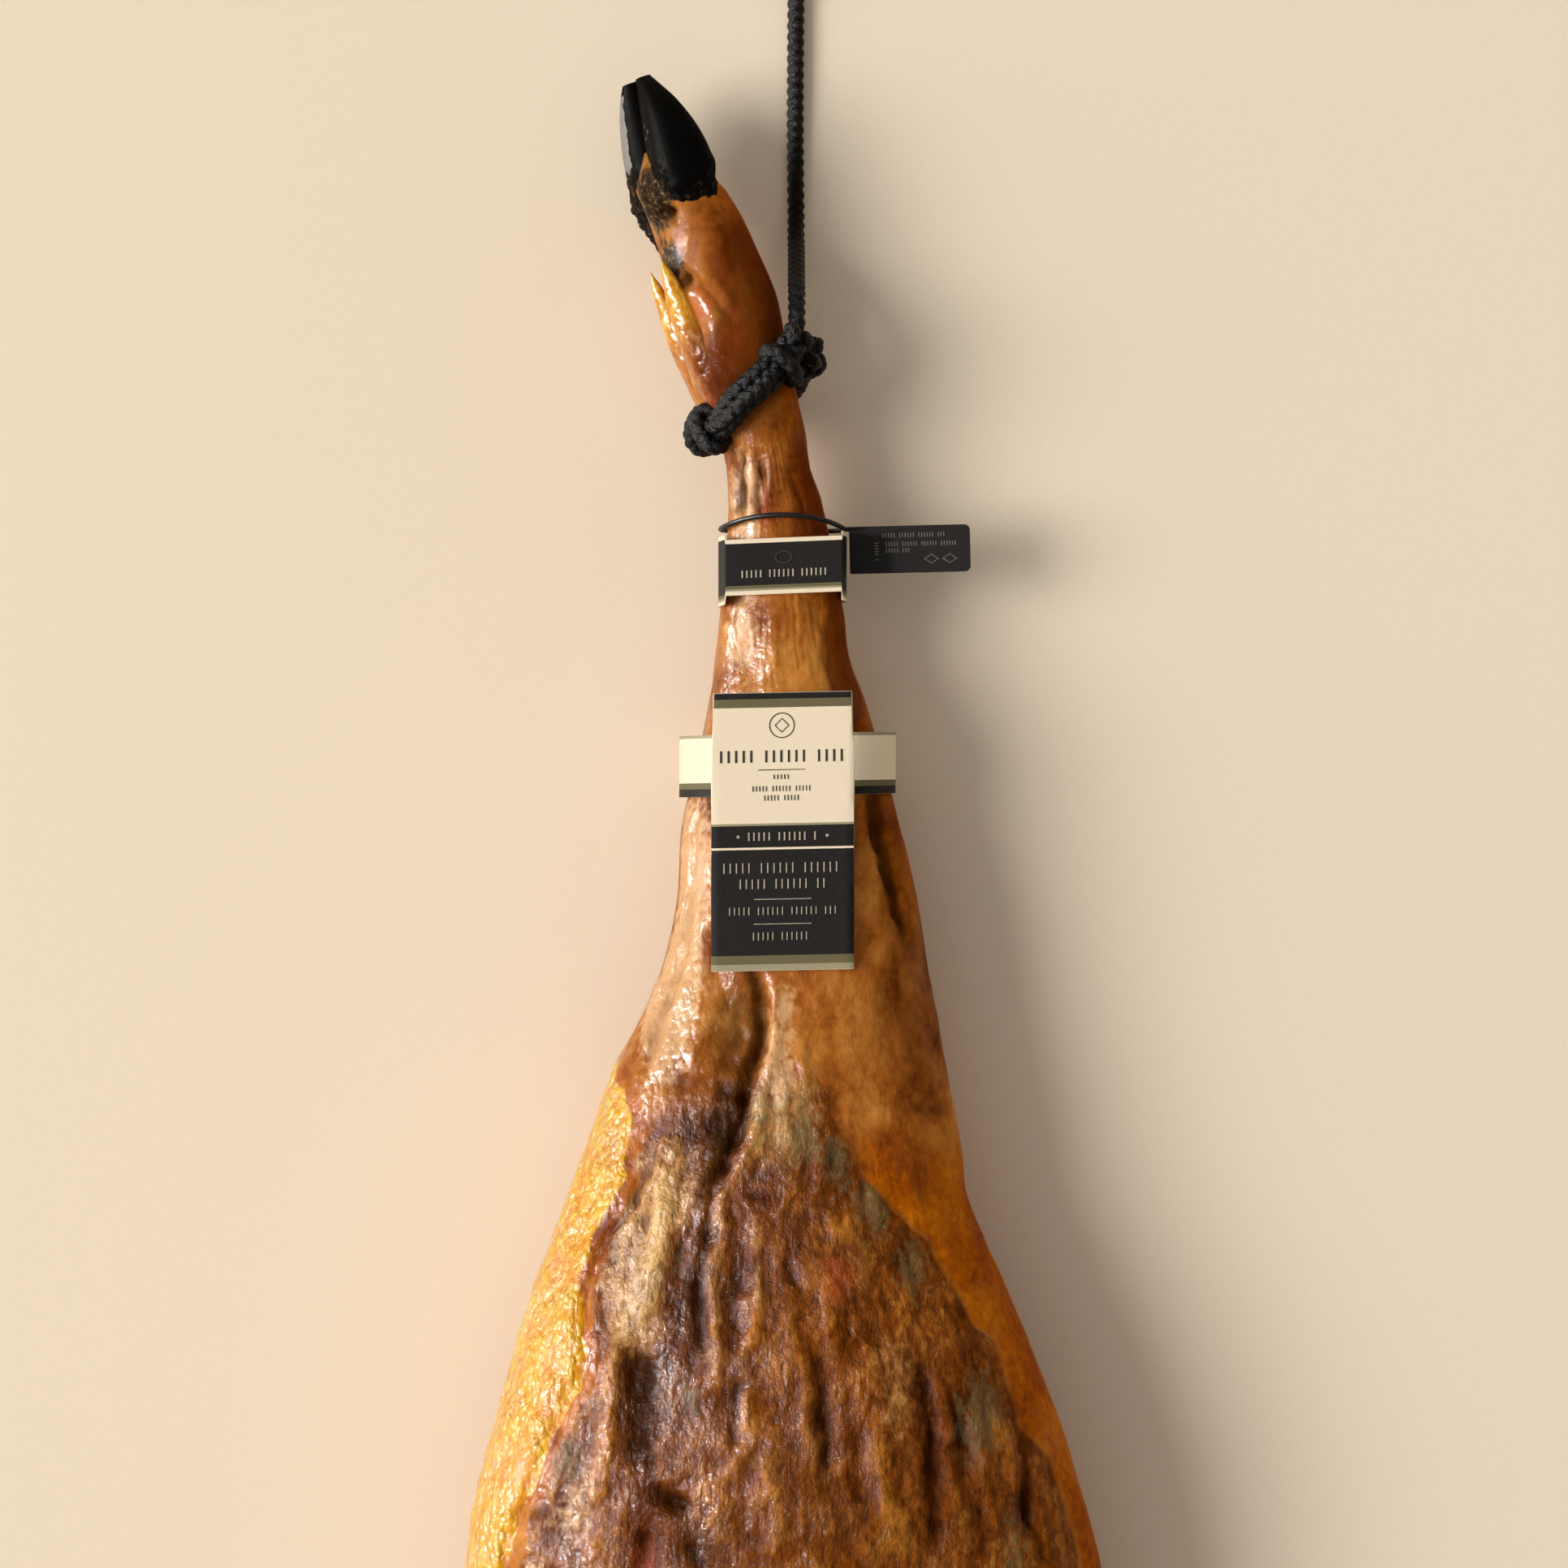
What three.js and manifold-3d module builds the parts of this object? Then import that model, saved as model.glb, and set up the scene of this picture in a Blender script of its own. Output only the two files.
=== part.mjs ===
// A whole cured ham, on the bone and with its hoof, lying on its skin side.
// A rope is noosed round its shank, two printed cards and a numbered seal are looped round the leg.
//
// Millimetres. +Y runs from the rump to the toes, +X is the ham's right with the meat face up, and
// +Z is up, away from the surface that the ham lies on. The origin is under the middle of the ham.
import * as THREE from "three";
import { mergeVertices } from "three/addons/utils/BufferGeometryUtils.js";
import Module from "manifold-3d";

// ---------------------------------------------------------------- the ham
const HAM_LENGTH = 791; // rump end to toe tips
const HAM_WIDTH = 282; // across the rump
const HAM_THICKNESS = 120; // skin side to meat face, at the rump

// The leg's outline, one row for each place where its shape turns: how far along the length from
// the rump end, its left and right edges as shares of the width from the middle line, and its under
// and upper sides as shares of the thickness. A share under 0 is pressed flat on the surface.
const LEG_ROWS = [
  // along, left, right, under, over
  [0.133, -0.5, 0.5, -0.03, 0.95],
  [0.19, -0.494, 0.474, -0.03, 0.99],
  [0.243, -0.468, 0.434, -0.03, 1.0],
  [0.297, -0.426, 0.38, -0.03, 0.98],
  [0.35, -0.38, 0.318, -0.015, 0.925],
  [0.39, -0.337, 0.271, 0.0, 0.87],
  [0.416, -0.309, 0.264, 0.02, 0.835],
  [0.456, -0.272, 0.242, 0.04, 0.8],
  [0.483, -0.233, 0.227, 0.055, 0.77],
  [0.51, -0.198, 0.214, 0.07, 0.75],
  [0.549, -0.173, 0.197, 0.095, 0.72],
  [0.589, -0.166, 0.172, 0.11, 0.68],
  [0.615, -0.15, 0.152, 0.12, 0.655],
  [0.656, -0.125, 0.119, 0.14, 0.62],
  [0.682, -0.112, 0.094, 0.155, 0.59],
  [0.709, -0.106, 0.083, 0.17, 0.565],
  [0.762, -0.094, 0.054, 0.19, 0.53],
  [0.786, -0.096, 0.033, 0.195, 0.525],
  [0.806, -0.11, 0.025, 0.19, 0.54],
  [0.833, -0.154, 0.009, 0.17, 0.565],
  [0.86, -0.168, -0.009, 0.155, 0.575],
  [0.886, -0.188, -0.024, 0.155, 0.575],
  [0.913, -0.208, -0.059, 0.165, 0.565],
  [0.94, -0.236, -0.1, 0.18, 0.55],
];
const SECTION_POWER = 2.25; // 2 is an ellipse, more is squarer
const RUMP_POWER = 2.2; // how full the rounded rump end is
const RUMP_TIP_HEIGHT = 0.42; // where the rump end closes, as a share of the thickness
const TOE_STUMP = 16; // how far the leg runs on inside the claws
const LEG_SIDES = 48;
const LEG_STEP = 15;
const CAP_RINGS = 8;

// ---------------------------------------------------------------- the claws
const TOE_TURN = THREE.MathUtils.degToRad(19.5); // the toes lean to the left of +Y by this
const FOOT_ROLL = THREE.MathUtils.degToRad(20); // the foot is rolled about its toes by this
const CLEFT = 2.4; // between the two claws
const CLAW_REACH = 51; // coronet to toe tip
const CLAW_INSET = 1.5; // the claws' middle line, to the left of the leg's own at the coronet
// Along the claw from the coronet as a share of its reach, its depth to the front wall and to the
// sole, and its width.
const CLAW_ROWS = [
  [-0.55, 8, 11, 14],
  [-0.28, 11.5, 16, 21],
  [0, 13.5, 16, 24],
  [0.24, 13.8, 14.3, 24],
  [0.47, 12.2, 12.8, 22],
  [0.71, 8.6, 10.4, 17.5],
  [0.88, 4.6, 8.2, 12],
  [1, 1.6, 6, 6],
];
const CLAW_POWER = 2.7;
const CLAW_SIDES = 20;
const CLAW_RINGS = 12;
// The two dewclaws, each a cone with a round tip: its middle across the leg from the leg's middle
// line, its height above that line, and how far its middle is from the toe tips.
const DEWCLAWS = [
  { across: -16, height: 13, fromToes: 99, lean: 0.44 },
  { across: -24.5, height: -6, fromToes: 103, lean: 0.26 },
];
const DEWCLAW_SIZE = [7.5, 22, 7.5]; // half sizes across, along and up

// ---------------------------------------------------------------- the rope
const ROPE_DIAMETER = 7.7;
const NOOSE_FROM_TOES = 138; // toe tips to the middle of the noose
const NOOSE_FRONT_SLOPE = 0.95; // rise across the leg, in front
const NOOSE_BACK_SLOPE = 0.25; // and behind it
const NOOSE_TURNS = 2; // turns of rope that lie side by side
// The knots on the noose: how far round the leg they are from +X towards +Z, how far they stand
// towards the toes and out from the noose's middle line, and their half sizes.
const KNOTS = [
  { turn: 14, ahead: 2.5, proud: 5, size: [9, 8.5, 9] },
  { turn: 44, ahead: 7.2, proud: 1, size: [9.5, 8, 7.5] },
  { turn: 168, ahead: 1.5, proud: -1.5, size: [7.5, 9.5, 9] },
];
// The rope's free end: its route from the upper knot down to the surface and along it.
const ROPE_ROUTE = [
  [3.2, 286, 60.5],
  [3.2, 292.6, 59],
  [3.2, 298.7, 55.9],
  [3.2, 303.1, 52],
  [3.1, 306.3, 47.6],
  [3.1, 312.2, 38.2],
  [3.1, 318, 28.9],
  [3.1, 324.2, 19.2],
  [3, 329, 13],
  [3, 335.2, 8.2],
  [3, 342.5, 5.3],
  [2.9, 350.2, 4.3],
  [2.8, 360, 4.1],
  [2.7, 374, 4.1],
  [2.7, 392, 4.1],
  [2.8, 412, 4.1],
  [3, 438, 4.1],
  [3.3, 464, 4.1],
];
const ROPE_SIDES = 10;
const ROPE_STEP = 2; // in diameters
const EYE_LENGTH = 46; // the hanging loop, past its knot
const EYE_WIDTH = 26;
const EYE_KNOT_SIZE = [8, 10, 7];

// ---------------------------------------------------------------- the cards and the seal
const CLEARANCE = 0.3; // between pieces that touch
const CARD = 0.6; // thickness of both printed cards
const CARD_CORNER = 0.5; // length of the slant where a card's arms leave its panel
const CARD_ARM_STEPS = 34;
const CARD_PANEL_STEPS = 3;
const BAND = {
  panel: [-27.2, 22.4], // left and right edges of the front panel
  panelFromToes: [200, 224.2], // its upper and lower edges, from the toe tips
  armsFromToes: [198, 228],
  gaps: { left: 0.6, right: 1.3, under: 1, over: 1 }, // from the leg at the arms' lower edge
  rise: 0.04, // towards the toes for each millimetre to the right
};
const LABEL = {
  panel: [-32.7, 26.9],
  panelFromToes: [266.7, 385.3],
  armsFromToes: [284.5, 311],
  gaps: { left: 3.5, right: 1, under: 1, over: 1 },
  rise: 0.02,
};
const STRAP_DIAMETER = 2.2; // the seal's strap
const STRAP_GAP = 0.5; // between it and the shank band below it
const STRAP_LIFT = 5; // how much nearer the toes its front is than its sides
const STRAP_SLACK = 1.6; // between it and the leg, in front and behind
const STRAP_STEPS = 44;
const FLAG_LENGTH = 52.5;
const FLAG_HEIGHT = 20.5;
const FLAG_THICKNESS = 1.2;
const FLAG_CORNER = 2.5;
const FLAG_GAP = 1; // between it and the shank band
const FLAG_RISE = 0.024; // towards the toes for each millimetre to the right
const NECK_HEIGHT = 2; // of the neck that joins it to the strap

const wasm = await Module();
wasm.setup();

// ---------------------------------------------------------------- meshes and solids
const power = (value, exponent) => Math.sign(value) * Math.abs(value) ** exponent;

// A closed surface over rings of points that all have the same count, joined end to end when
// closed is true and shut by a fan to a point at each end when it isn't.
function skin(rings, { closed = false, start = null, end = null } = {}) {
  const around = rings[0].length;
  const points = rings.flat();
  const triangles = [];
  const joins = closed ? rings.length : rings.length - 1;
  for (let i = 0; i < joins; i++) {
    for (let j = 0; j < around; j++) {
      const a = i * around + j;
      const b = i * around + ((j + 1) % around);
      const c = ((i + 1) % rings.length) * around + j;
      const d = ((i + 1) % rings.length) * around + ((j + 1) % around);
      triangles.push(a, b, c, b, d, c);
    }
  }
  if (!closed) {
    const middle = (ring) =>
      ring.reduce((sum, p) => sum.add(p), new THREE.Vector3()).divideScalar(around);
    points.push(start ?? middle(rings[0]), end ?? middle(rings[rings.length - 1]));
    const last = (rings.length - 1) * around;
    for (let j = 0; j < around; j++) {
      triangles.push(points.length - 2, (j + 1) % around, j);
      triangles.push(points.length - 1, last + j, last + ((j + 1) % around));
    }
  }
  return outward(new THREE.BufferGeometry().setFromPoints(points).setIndex(triangles));
}

// The same geometry with its faces turned to point out.
function outward(geometry) {
  const p = geometry.attributes.position;
  const index = geometry.index.array;
  const [a, b, c] = [new THREE.Vector3(), new THREE.Vector3(), new THREE.Vector3()];
  let volume = 0;
  for (let i = 0; i < index.length; i += 3) {
    a.fromBufferAttribute(p, index[i]);
    b.fromBufferAttribute(p, index[i + 1]);
    c.fromBufferAttribute(p, index[i + 2]);
    volume += a.dot(b.cross(c));
  }
  if (volume < 0) {
    for (let i = 0; i < index.length; i += 3) {
      [index[i + 1], index[i + 2]] = [index[i + 2], index[i + 1]];
    }
  }
  return geometry;
}

function solidOf(geometry) {
  const bare = new THREE.BufferGeometry().setAttribute("position", geometry.attributes.position);
  if (geometry.index) bare.setIndex(geometry.index);
  const merged = mergeVertices(bare, 1e-3);
  return new wasm.Manifold(
    new wasm.Mesh({
      numProp: 3,
      vertProperties: merged.attributes.position.array,
      triVerts: new Uint32Array(merged.index.array),
    }),
  );
}

function geometryOf(solid) {
  const mesh = solid.getMesh();
  const points = new Float32Array(mesh.numVert * 3);
  for (let i = 0; i < mesh.numVert; i++) {
    const from = i * mesh.numProp;
    points.set(mesh.vertProperties.subarray(from, from + 3), i * 3);
  }
  return new THREE.BufferGeometry()
    .setAttribute("position", new THREE.BufferAttribute(points, 3))
    .setIndex(new THREE.BufferAttribute(mesh.triVerts, 1));
}

const joined = (...geometries) => geometries.map(solidOf).reduce((whole, next) => whole.add(next));

function lump([x, y, z], [rx, ry, rz]) {
  return new THREE.SphereGeometry(1, 16, 10).scale(rx, ry, rz).translate(x, y, z);
}

// ---------------------------------------------------------------- the leg's own surface
// A smooth curve through a table's rows: column `key` where column 0 is `at`.
function through(rows, key, at) {
  let i = rows.findIndex((row) => row[0] > at) - 1;
  if (i < 0) i = at < rows[0][0] ? 0 : rows.length - 2;
  const slope = (k) => {
    const [low, high] = [rows[Math.max(k - 1, 0)], rows[Math.min(k + 1, rows.length - 1)]];
    return (high[key] - low[key]) / (high[0] - low[0]);
  };
  const span = rows[i + 1][0] - rows[i][0];
  const t = THREE.MathUtils.clamp((at - rows[i][0]) / span, 0, 1);
  const start = i === 0 ? 0 : slope(i); // the first row is a widest place
  return (
    (2 * t ** 3 - 3 * t ** 2 + 1) * rows[i][key] +
    (t ** 3 - 2 * t ** 2 + t) * span * start +
    (3 * t ** 2 - 2 * t ** 3) * rows[i + 1][key] +
    (t ** 3 - t ** 2) * span * slope(i + 1)
  );
}

const TOES_Y = HAM_LENGTH / 2;
const RUMP_Y = -HAM_LENGTH / 2;
const CORONET_Y = TOES_Y - CLAW_REACH * Math.cos(TOE_TURN);
const FULL_Y = RUMP_Y + LEG_ROWS[0][0] * HAM_LENGTH; // the widest place

// The leg's section at y: its centre, half width and heights above and below the centre.
function legSection(y) {
  const along = Math.max((y - RUMP_Y) / HAM_LENGTH, LEG_ROWS[0][0]);
  const [left, right] = [1, 2].map((key) => through(LEG_ROWS, key, along) * HAM_WIDTH);
  const [under, over] = [3, 4].map((key) => through(LEG_ROWS, key, along) * HAM_THICKNESS);
  const x = (left + right) / 2;
  const z = (under + over) / 2;
  if (y >= FULL_Y) return { x, z, half: (right - left) / 2, up: over - z, down: z - under };
  const share = Math.min((FULL_Y - y) / (FULL_Y - RUMP_Y), 1);
  const full = (1 - share ** RUMP_POWER) ** (1 / RUMP_POWER);
  const tip = RUMP_TIP_HEIGHT * HAM_THICKNESS;
  return {
    x,
    z: tip + (z - tip) * full,
    half: (full * (right - left)) / 2,
    up: full * (over - z),
    down: full * (z - under),
  };
}

// A ring of points round a section, grown by `by`, at y. Angle 0 is +X and a quarter turn is up.
function sectionRing(section, y, sides, by = 0) {
  return Array.from({ length: sides }, (_, i) => {
    const angle = (i / sides) * 2 * Math.PI;
    const height = Math.sin(angle) > 0 ? section.up : section.down;
    return new THREE.Vector3(
      section.x + (section.half + by) * power(Math.cos(angle), 2 / SECTION_POWER),
      y,
      section.z + (height + by) * power(Math.sin(angle), 2 / SECTION_POWER),
    );
  });
}

function legGeometry(grown = 0) {
  const places = [];
  for (let i = 1; i < CAP_RINGS; i++) {
    const turn = (i / CAP_RINGS) * (Math.PI / 2);
    places.push(FULL_Y - (FULL_Y - RUMP_Y) * Math.cos(turn));
  }
  const steps = Math.round((CORONET_Y - FULL_Y) / LEG_STEP);
  for (let i = 0; i <= steps; i++) places.push(FULL_Y + ((CORONET_Y - FULL_Y) * i) / steps);
  const rings = places.map((y) => sectionRing(legSection(y), y, LEG_SIDES, grown));
  rings.push(toeStump(grown));
  for (const point of rings.flat()) point.z = Math.max(point.z, -grown);
  const rump = legSection(RUMP_Y);
  return skin(rings, { start: new THREE.Vector3(rump.x, RUMP_Y - grown, rump.z) });
}

// The leg's last ring, shrunk and moved along the toes, so that the leg ends inside the claws.
function toeStump(grown) {
  const section = legSection(CORONET_Y);
  const shrunk = {
    ...section,
    x: section.x - TOE_STUMP * Math.sin(TOE_TURN),
    half: section.half * 0.6,
    up: section.up * 0.6,
    down: section.down * 0.6,
  };
  return sectionRing(shrunk, CORONET_Y + TOE_STUMP * Math.cos(TOE_TURN), LEG_SIDES, grown);
}

// ---------------------------------------------------------------- the claws
// The foot's own directions: along the toes, towards the sole, and across to the upper claw.
const ALONG = new THREE.Vector3(-Math.sin(TOE_TURN), Math.cos(TOE_TURN), 0);
const UP = new THREE.Vector3(0, 0, 1);
const SOLE = UP.clone().cross(ALONG).applyAxisAngle(ALONG, FOOT_ROLL);
const ACROSS = SOLE.clone().cross(ALONG).negate();
const AT_CORONET = legSection(CORONET_Y);
const CORONET = new THREE.Vector3(AT_CORONET.x - CLAW_INSET, CORONET_Y, AT_CORONET.z);

// One claw: a D-shaped cone, flat against the cleft. Side is 1 for the upper claw and -1 for the
// lower one.
function clawGeometry(side) {
  const rings = Array.from({ length: CLAW_RINGS }, (_, i) => {
    const first = CLAW_ROWS[0][0];
    const at = first + (1 - first) * (i / (CLAW_RINGS - 1));
    const [front, sole, width] = [1, 2, 3].map((key) => through(CLAW_ROWS, key, at));
    return Array.from({ length: CLAW_SIDES }, (_, j) => {
      const angle = (j / CLAW_SIDES) * 2 * Math.PI;
      const depth = Math.cos(angle) > 0 ? sole : front;
      const out = CLEFT / 2 + (width / 2) * (1 + power(Math.sin(angle), 2 / CLAW_POWER));
      return CORONET.clone()
        .addScaledVector(ALONG, at * CLAW_REACH)
        .addScaledVector(SOLE, depth * power(Math.cos(angle), 2 / CLAW_POWER))
        .addScaledVector(ACROSS, side * out);
    });
  });
  return skin(rings);
}

function dewclawGeometry({ across, height, fromToes, lean }) {
  const y = TOES_Y - fromToes;
  const section = legSection(y);
  return new THREE.SphereGeometry(1, 14, 10)
    .scale(...DEWCLAW_SIZE)
    .rotateZ(lean)
    .translate(section.x + across, y, section.z + height);
}

const hamGeometry = () =>
  geometryOf(
    joined(
      legGeometry(),
      clawGeometry(1),
      clawGeometry(-1),
      ...DEWCLAWS.map(dewclawGeometry),
    ),
  );

// ---------------------------------------------------------------- the rope
const NOOSE_Y = TOES_Y - NOOSE_FROM_TOES;

// Where the noose's middle line lies at an angle round the leg, and the directions out of the leg
// and along the noose's width.
function noosePlace(angle) {
  const front = (1 + Math.sin(angle)) / 2;
  const slope = NOOSE_BACK_SLOPE + (NOOSE_FRONT_SLOPE - NOOSE_BACK_SLOPE) * front;
  const middle = legSection(NOOSE_Y);
  const y = NOOSE_Y + slope * middle.half * Math.cos(angle);
  const section = legSection(y);
  const away = CLEARANCE + ROPE_DIAMETER / 2;
  const up = Math.sin(angle) > 0 ? section.up : section.down;
  const x = section.x + (section.half + away) * power(Math.cos(angle), 2 / SECTION_POWER);
  const z = section.z + (up + away) * power(Math.sin(angle), 2 / SECTION_POWER);
  const out = new THREE.Vector3(x - section.x, 0, z - section.z).normalize();
  return { at: new THREE.Vector3(x, y, z), out };
}

function nooseGeometry() {
  const steps = 40;
  const sides = 10;
  const rings = Array.from({ length: steps }, (_, i) => {
    const { at, out } = noosePlace((i / steps) * 2 * Math.PI);
    const ahead = noosePlace(((i + 0.5) / steps) * 2 * Math.PI).at;
    const wide = ahead.sub(at).normalize().cross(out).normalize();
    return Array.from({ length: sides }, (_, j) => {
      const turn = (j / sides) * 2 * Math.PI;
      return at
        .clone()
        .addScaledVector(out, (ROPE_DIAMETER / 2) * Math.sin(turn))
        .addScaledVector(wide, ((NOOSE_TURNS * ROPE_DIAMETER) / 2) * Math.cos(turn));
    });
  });
  const knots = KNOTS.map(({ turn, ahead, proud, size }) => {
    const { at, out } = noosePlace(THREE.MathUtils.degToRad(turn));
    return lump(at.addScaledVector(out, proud).toArray(), size).translate(0, ahead, 0);
  });
  const whole = joined(skin(rings, { closed: true }), ...knots);
  return geometryOf(whole.subtract(solidOf(legGeometry(CLEARANCE))));
}

function leadGeometry() {
  const route = new THREE.CatmullRomCurve3(ROPE_ROUTE.map((p) => new THREE.Vector3(...p)));
  const section = new THREE.Shape();
  section.absellipse(0, 0, ROPE_DIAMETER / 2, ROPE_DIAMETER / 2, 0, 2 * Math.PI);
  return new THREE.ExtrudeGeometry(section, {
    curveSegments: ROPE_SIDES,
    steps: Math.round(route.getLength() / (ROPE_STEP * ROPE_DIAMETER)),
    extrudePath: route,
  });
}

// The hanging eye: a flat loop of rope that leaves its knot and comes back to it.
function eyeGeometry() {
  const [x, y] = ROPE_ROUTE[ROPE_ROUTE.length - 1];
  const knotY = y + CLEARANCE + EYE_KNOT_SIZE[1];
  const loopY = knotY + EYE_LENGTH / 2;
  const radius = ROPE_DIAMETER / 2;
  const steps = 24;
  const rings = Array.from({ length: steps }, (_, i) => {
    const angle = (i / steps) * 2 * Math.PI;
    const out = new THREE.Vector3(Math.cos(angle), Math.sin(angle), 0);
    const at = new THREE.Vector3(
      x + (EYE_WIDTH / 2) * out.x,
      loopY + (EYE_LENGTH / 2) * out.y,
      radius,
    );
    return Array.from({ length: ROPE_SIDES }, (_, j) => {
      const turn = (j / ROPE_SIDES) * 2 * Math.PI;
      return at
        .clone()
        .addScaledVector(out, radius * Math.cos(turn))
        .addScaledVector(UP, radius * Math.sin(turn));
    });
  });
  const knot = lump([x, knotY, EYE_KNOT_SIZE[2]], EYE_KNOT_SIZE);
  return geometryOf(joined(skin(rings, { closed: true }), knot));
}

// ---------------------------------------------------------------- the cards and the seal
// The corners of the smallest convex outline round points [x, z], turning from +X towards +Z.
function hull(points) {
  const sorted = [...points].sort((a, b) => a[0] - b[0] || a[1] - b[1]);
  const turn = (o, a, b) => (a[0] - o[0]) * (b[1] - o[1]) - (a[1] - o[1]) * (b[0] - o[0]);
  const chain = (list) => {
    const kept = [];
    for (const p of list) {
      while (kept.length > 1 && turn(kept.at(-2), kept.at(-1), p) <= 1e-9) kept.pop();
      kept.push(p);
    }
    return kept.slice(0, -1);
  };
  return [...chain(sorted), ...chain(sorted.reverse())];
}

// Points along a line of [x, z] corners, evenly spaced, `inset` away from both of its ends.
function spaced(line, count, inset) {
  const lengths = line.slice(1).map((p, i) => Math.hypot(p[0] - line[i][0], p[1] - line[i][1]));
  const total = lengths.reduce((sum, length) => sum + length, 0);
  return Array.from({ length: count }, (_, i) => {
    let left = inset + ((total - 2 * inset) * i) / (count - 1);
    let k = 0;
    while (k < lengths.length - 1 && left > lengths[k]) left -= lengths[k++];
    const t = left / lengths[k];
    return line[k].map((value, axis) => value + (line[k + 1][axis] - value) * t);
  });
}

// The height of a card's flat panel at y: straight from edge to edge, and clear of the leg.
function cardHeight(card, y) {
  const [top, bottom] = card.panelFromToes.map((from) => TOES_Y - from);
  const clear = (at) => {
    const section = legSection(at);
    return section.z + section.up + card.gaps.over;
  };
  const straight = (at) => THREE.MathUtils.mapLinear(at, bottom, top, clear(bottom), clear(top));
  const over = Array.from({ length: 21 }, (_, i) => bottom + ((top - bottom) * i) / 20);
  return straight(y) + Math.max(...over.map((at) => clear(at) - straight(at)));
}

// The leg's section at y with a card's gaps round it, no higher than its panel, as [x, z] points.
function looseRing({ gaps }, y, panelZ) {
  const section = legSection(y);
  const loose = {
    x: section.x + (gaps.right - gaps.left) / 2,
    z: section.z,
    half: section.half + (gaps.left + gaps.right) / 2,
    up: section.up + gaps.over,
    down: section.down + gaps.under,
  };
  return sectionRing(loose, 0, 2 * LEG_SIDES).map((p) => [p.x, Math.min(p.z, panelZ)]);
}

// Where a card lies at y, as [x, z] points: its flat panel from left to right, then its arms from
// the panel's right edge round under the leg and back to its left edge. The arms stand straight,
// so they go round the leg where it is widest between them.
function cardOutline(card, y) {
  const panelZ = cardHeight(card, y);
  const [left, right] = card.panel;
  const [armTop, armBottom] = card.armsFromToes.map((from) => TOES_Y - from);
  const section = legSection(armBottom);
  const ring = [0, 0.25, 0.5, 0.75, 1].flatMap((share) =>
    looseRing(card, armBottom + (armTop - armBottom) * share, panelZ),
  );
  const corners = hull([...ring, [left, panelZ], [right, panelZ]]);
  const arms = corners.filter(([x, z]) => z < panelZ - 1e-6 || x < left || x > right);
  const first = arms.reduce(
    (best, p, i) => (p[0] > section.x && p[1] > arms[best][1] ? i : best),
    arms.findIndex(([x]) => x > section.x),
  );
  const order = arms.map((_, i) => arms[(first - i + 2 * arms.length) % arms.length]);
  const panel = Array.from({ length: CARD_PANEL_STEPS + 1 }, (_, i) => [
    left + ((right - left) * i) / CARD_PANEL_STEPS,
    panelZ,
  ]);
  if (!arms.some(([x]) => x < section.x)) throw new Error("a card has no room for its arms");
  return [...panel, ...spaced([[right, panelZ], ...order, [left, panelZ]], CARD_ARM_STEPS, CARD_CORNER)];
}

// A card of even thickness whose panel and arms have their own heights along the leg.
function cardGeometry(card) {
  const [panelTop, panelBottom] = card.panelFromToes.map((from) => TOES_Y - from);
  const [armTop, armBottom] = card.armsFromToes.map((from) => TOES_Y - from);
  const outlines = new Map();
  const outline = (y) => {
    if (!outlines.has(y)) outlines.set(y, cardOutline(card, y));
    return outlines.get(y);
  };
  const count = outline(armTop).length;
  const corner = (i, y, out) => {
    const line = outline(y);
    const [before, after] = [line[(i + count - 1) % count], line[(i + 1) % count]];
    const across = new THREE.Vector2(after[0] - before[0], after[1] - before[1]).normalize();
    const rise = card.rise * line[i][0];
    return new THREE.Vector3(line[i][0] - across.y * out, y + rise, line[i][1] + across.x * out);
  };
  const rings = Array.from({ length: count }, (_, i) => {
    const onPanel = i <= CARD_PANEL_STEPS;
    const [top, bottom] = onPanel ? [panelTop, panelBottom] : [armTop, armBottom];
    return [corner(i, bottom, 0), corner(i, top, 0), corner(i, top, CARD), corner(i, bottom, CARD)];
  });
  return skin(rings, { closed: true });
}

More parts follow.
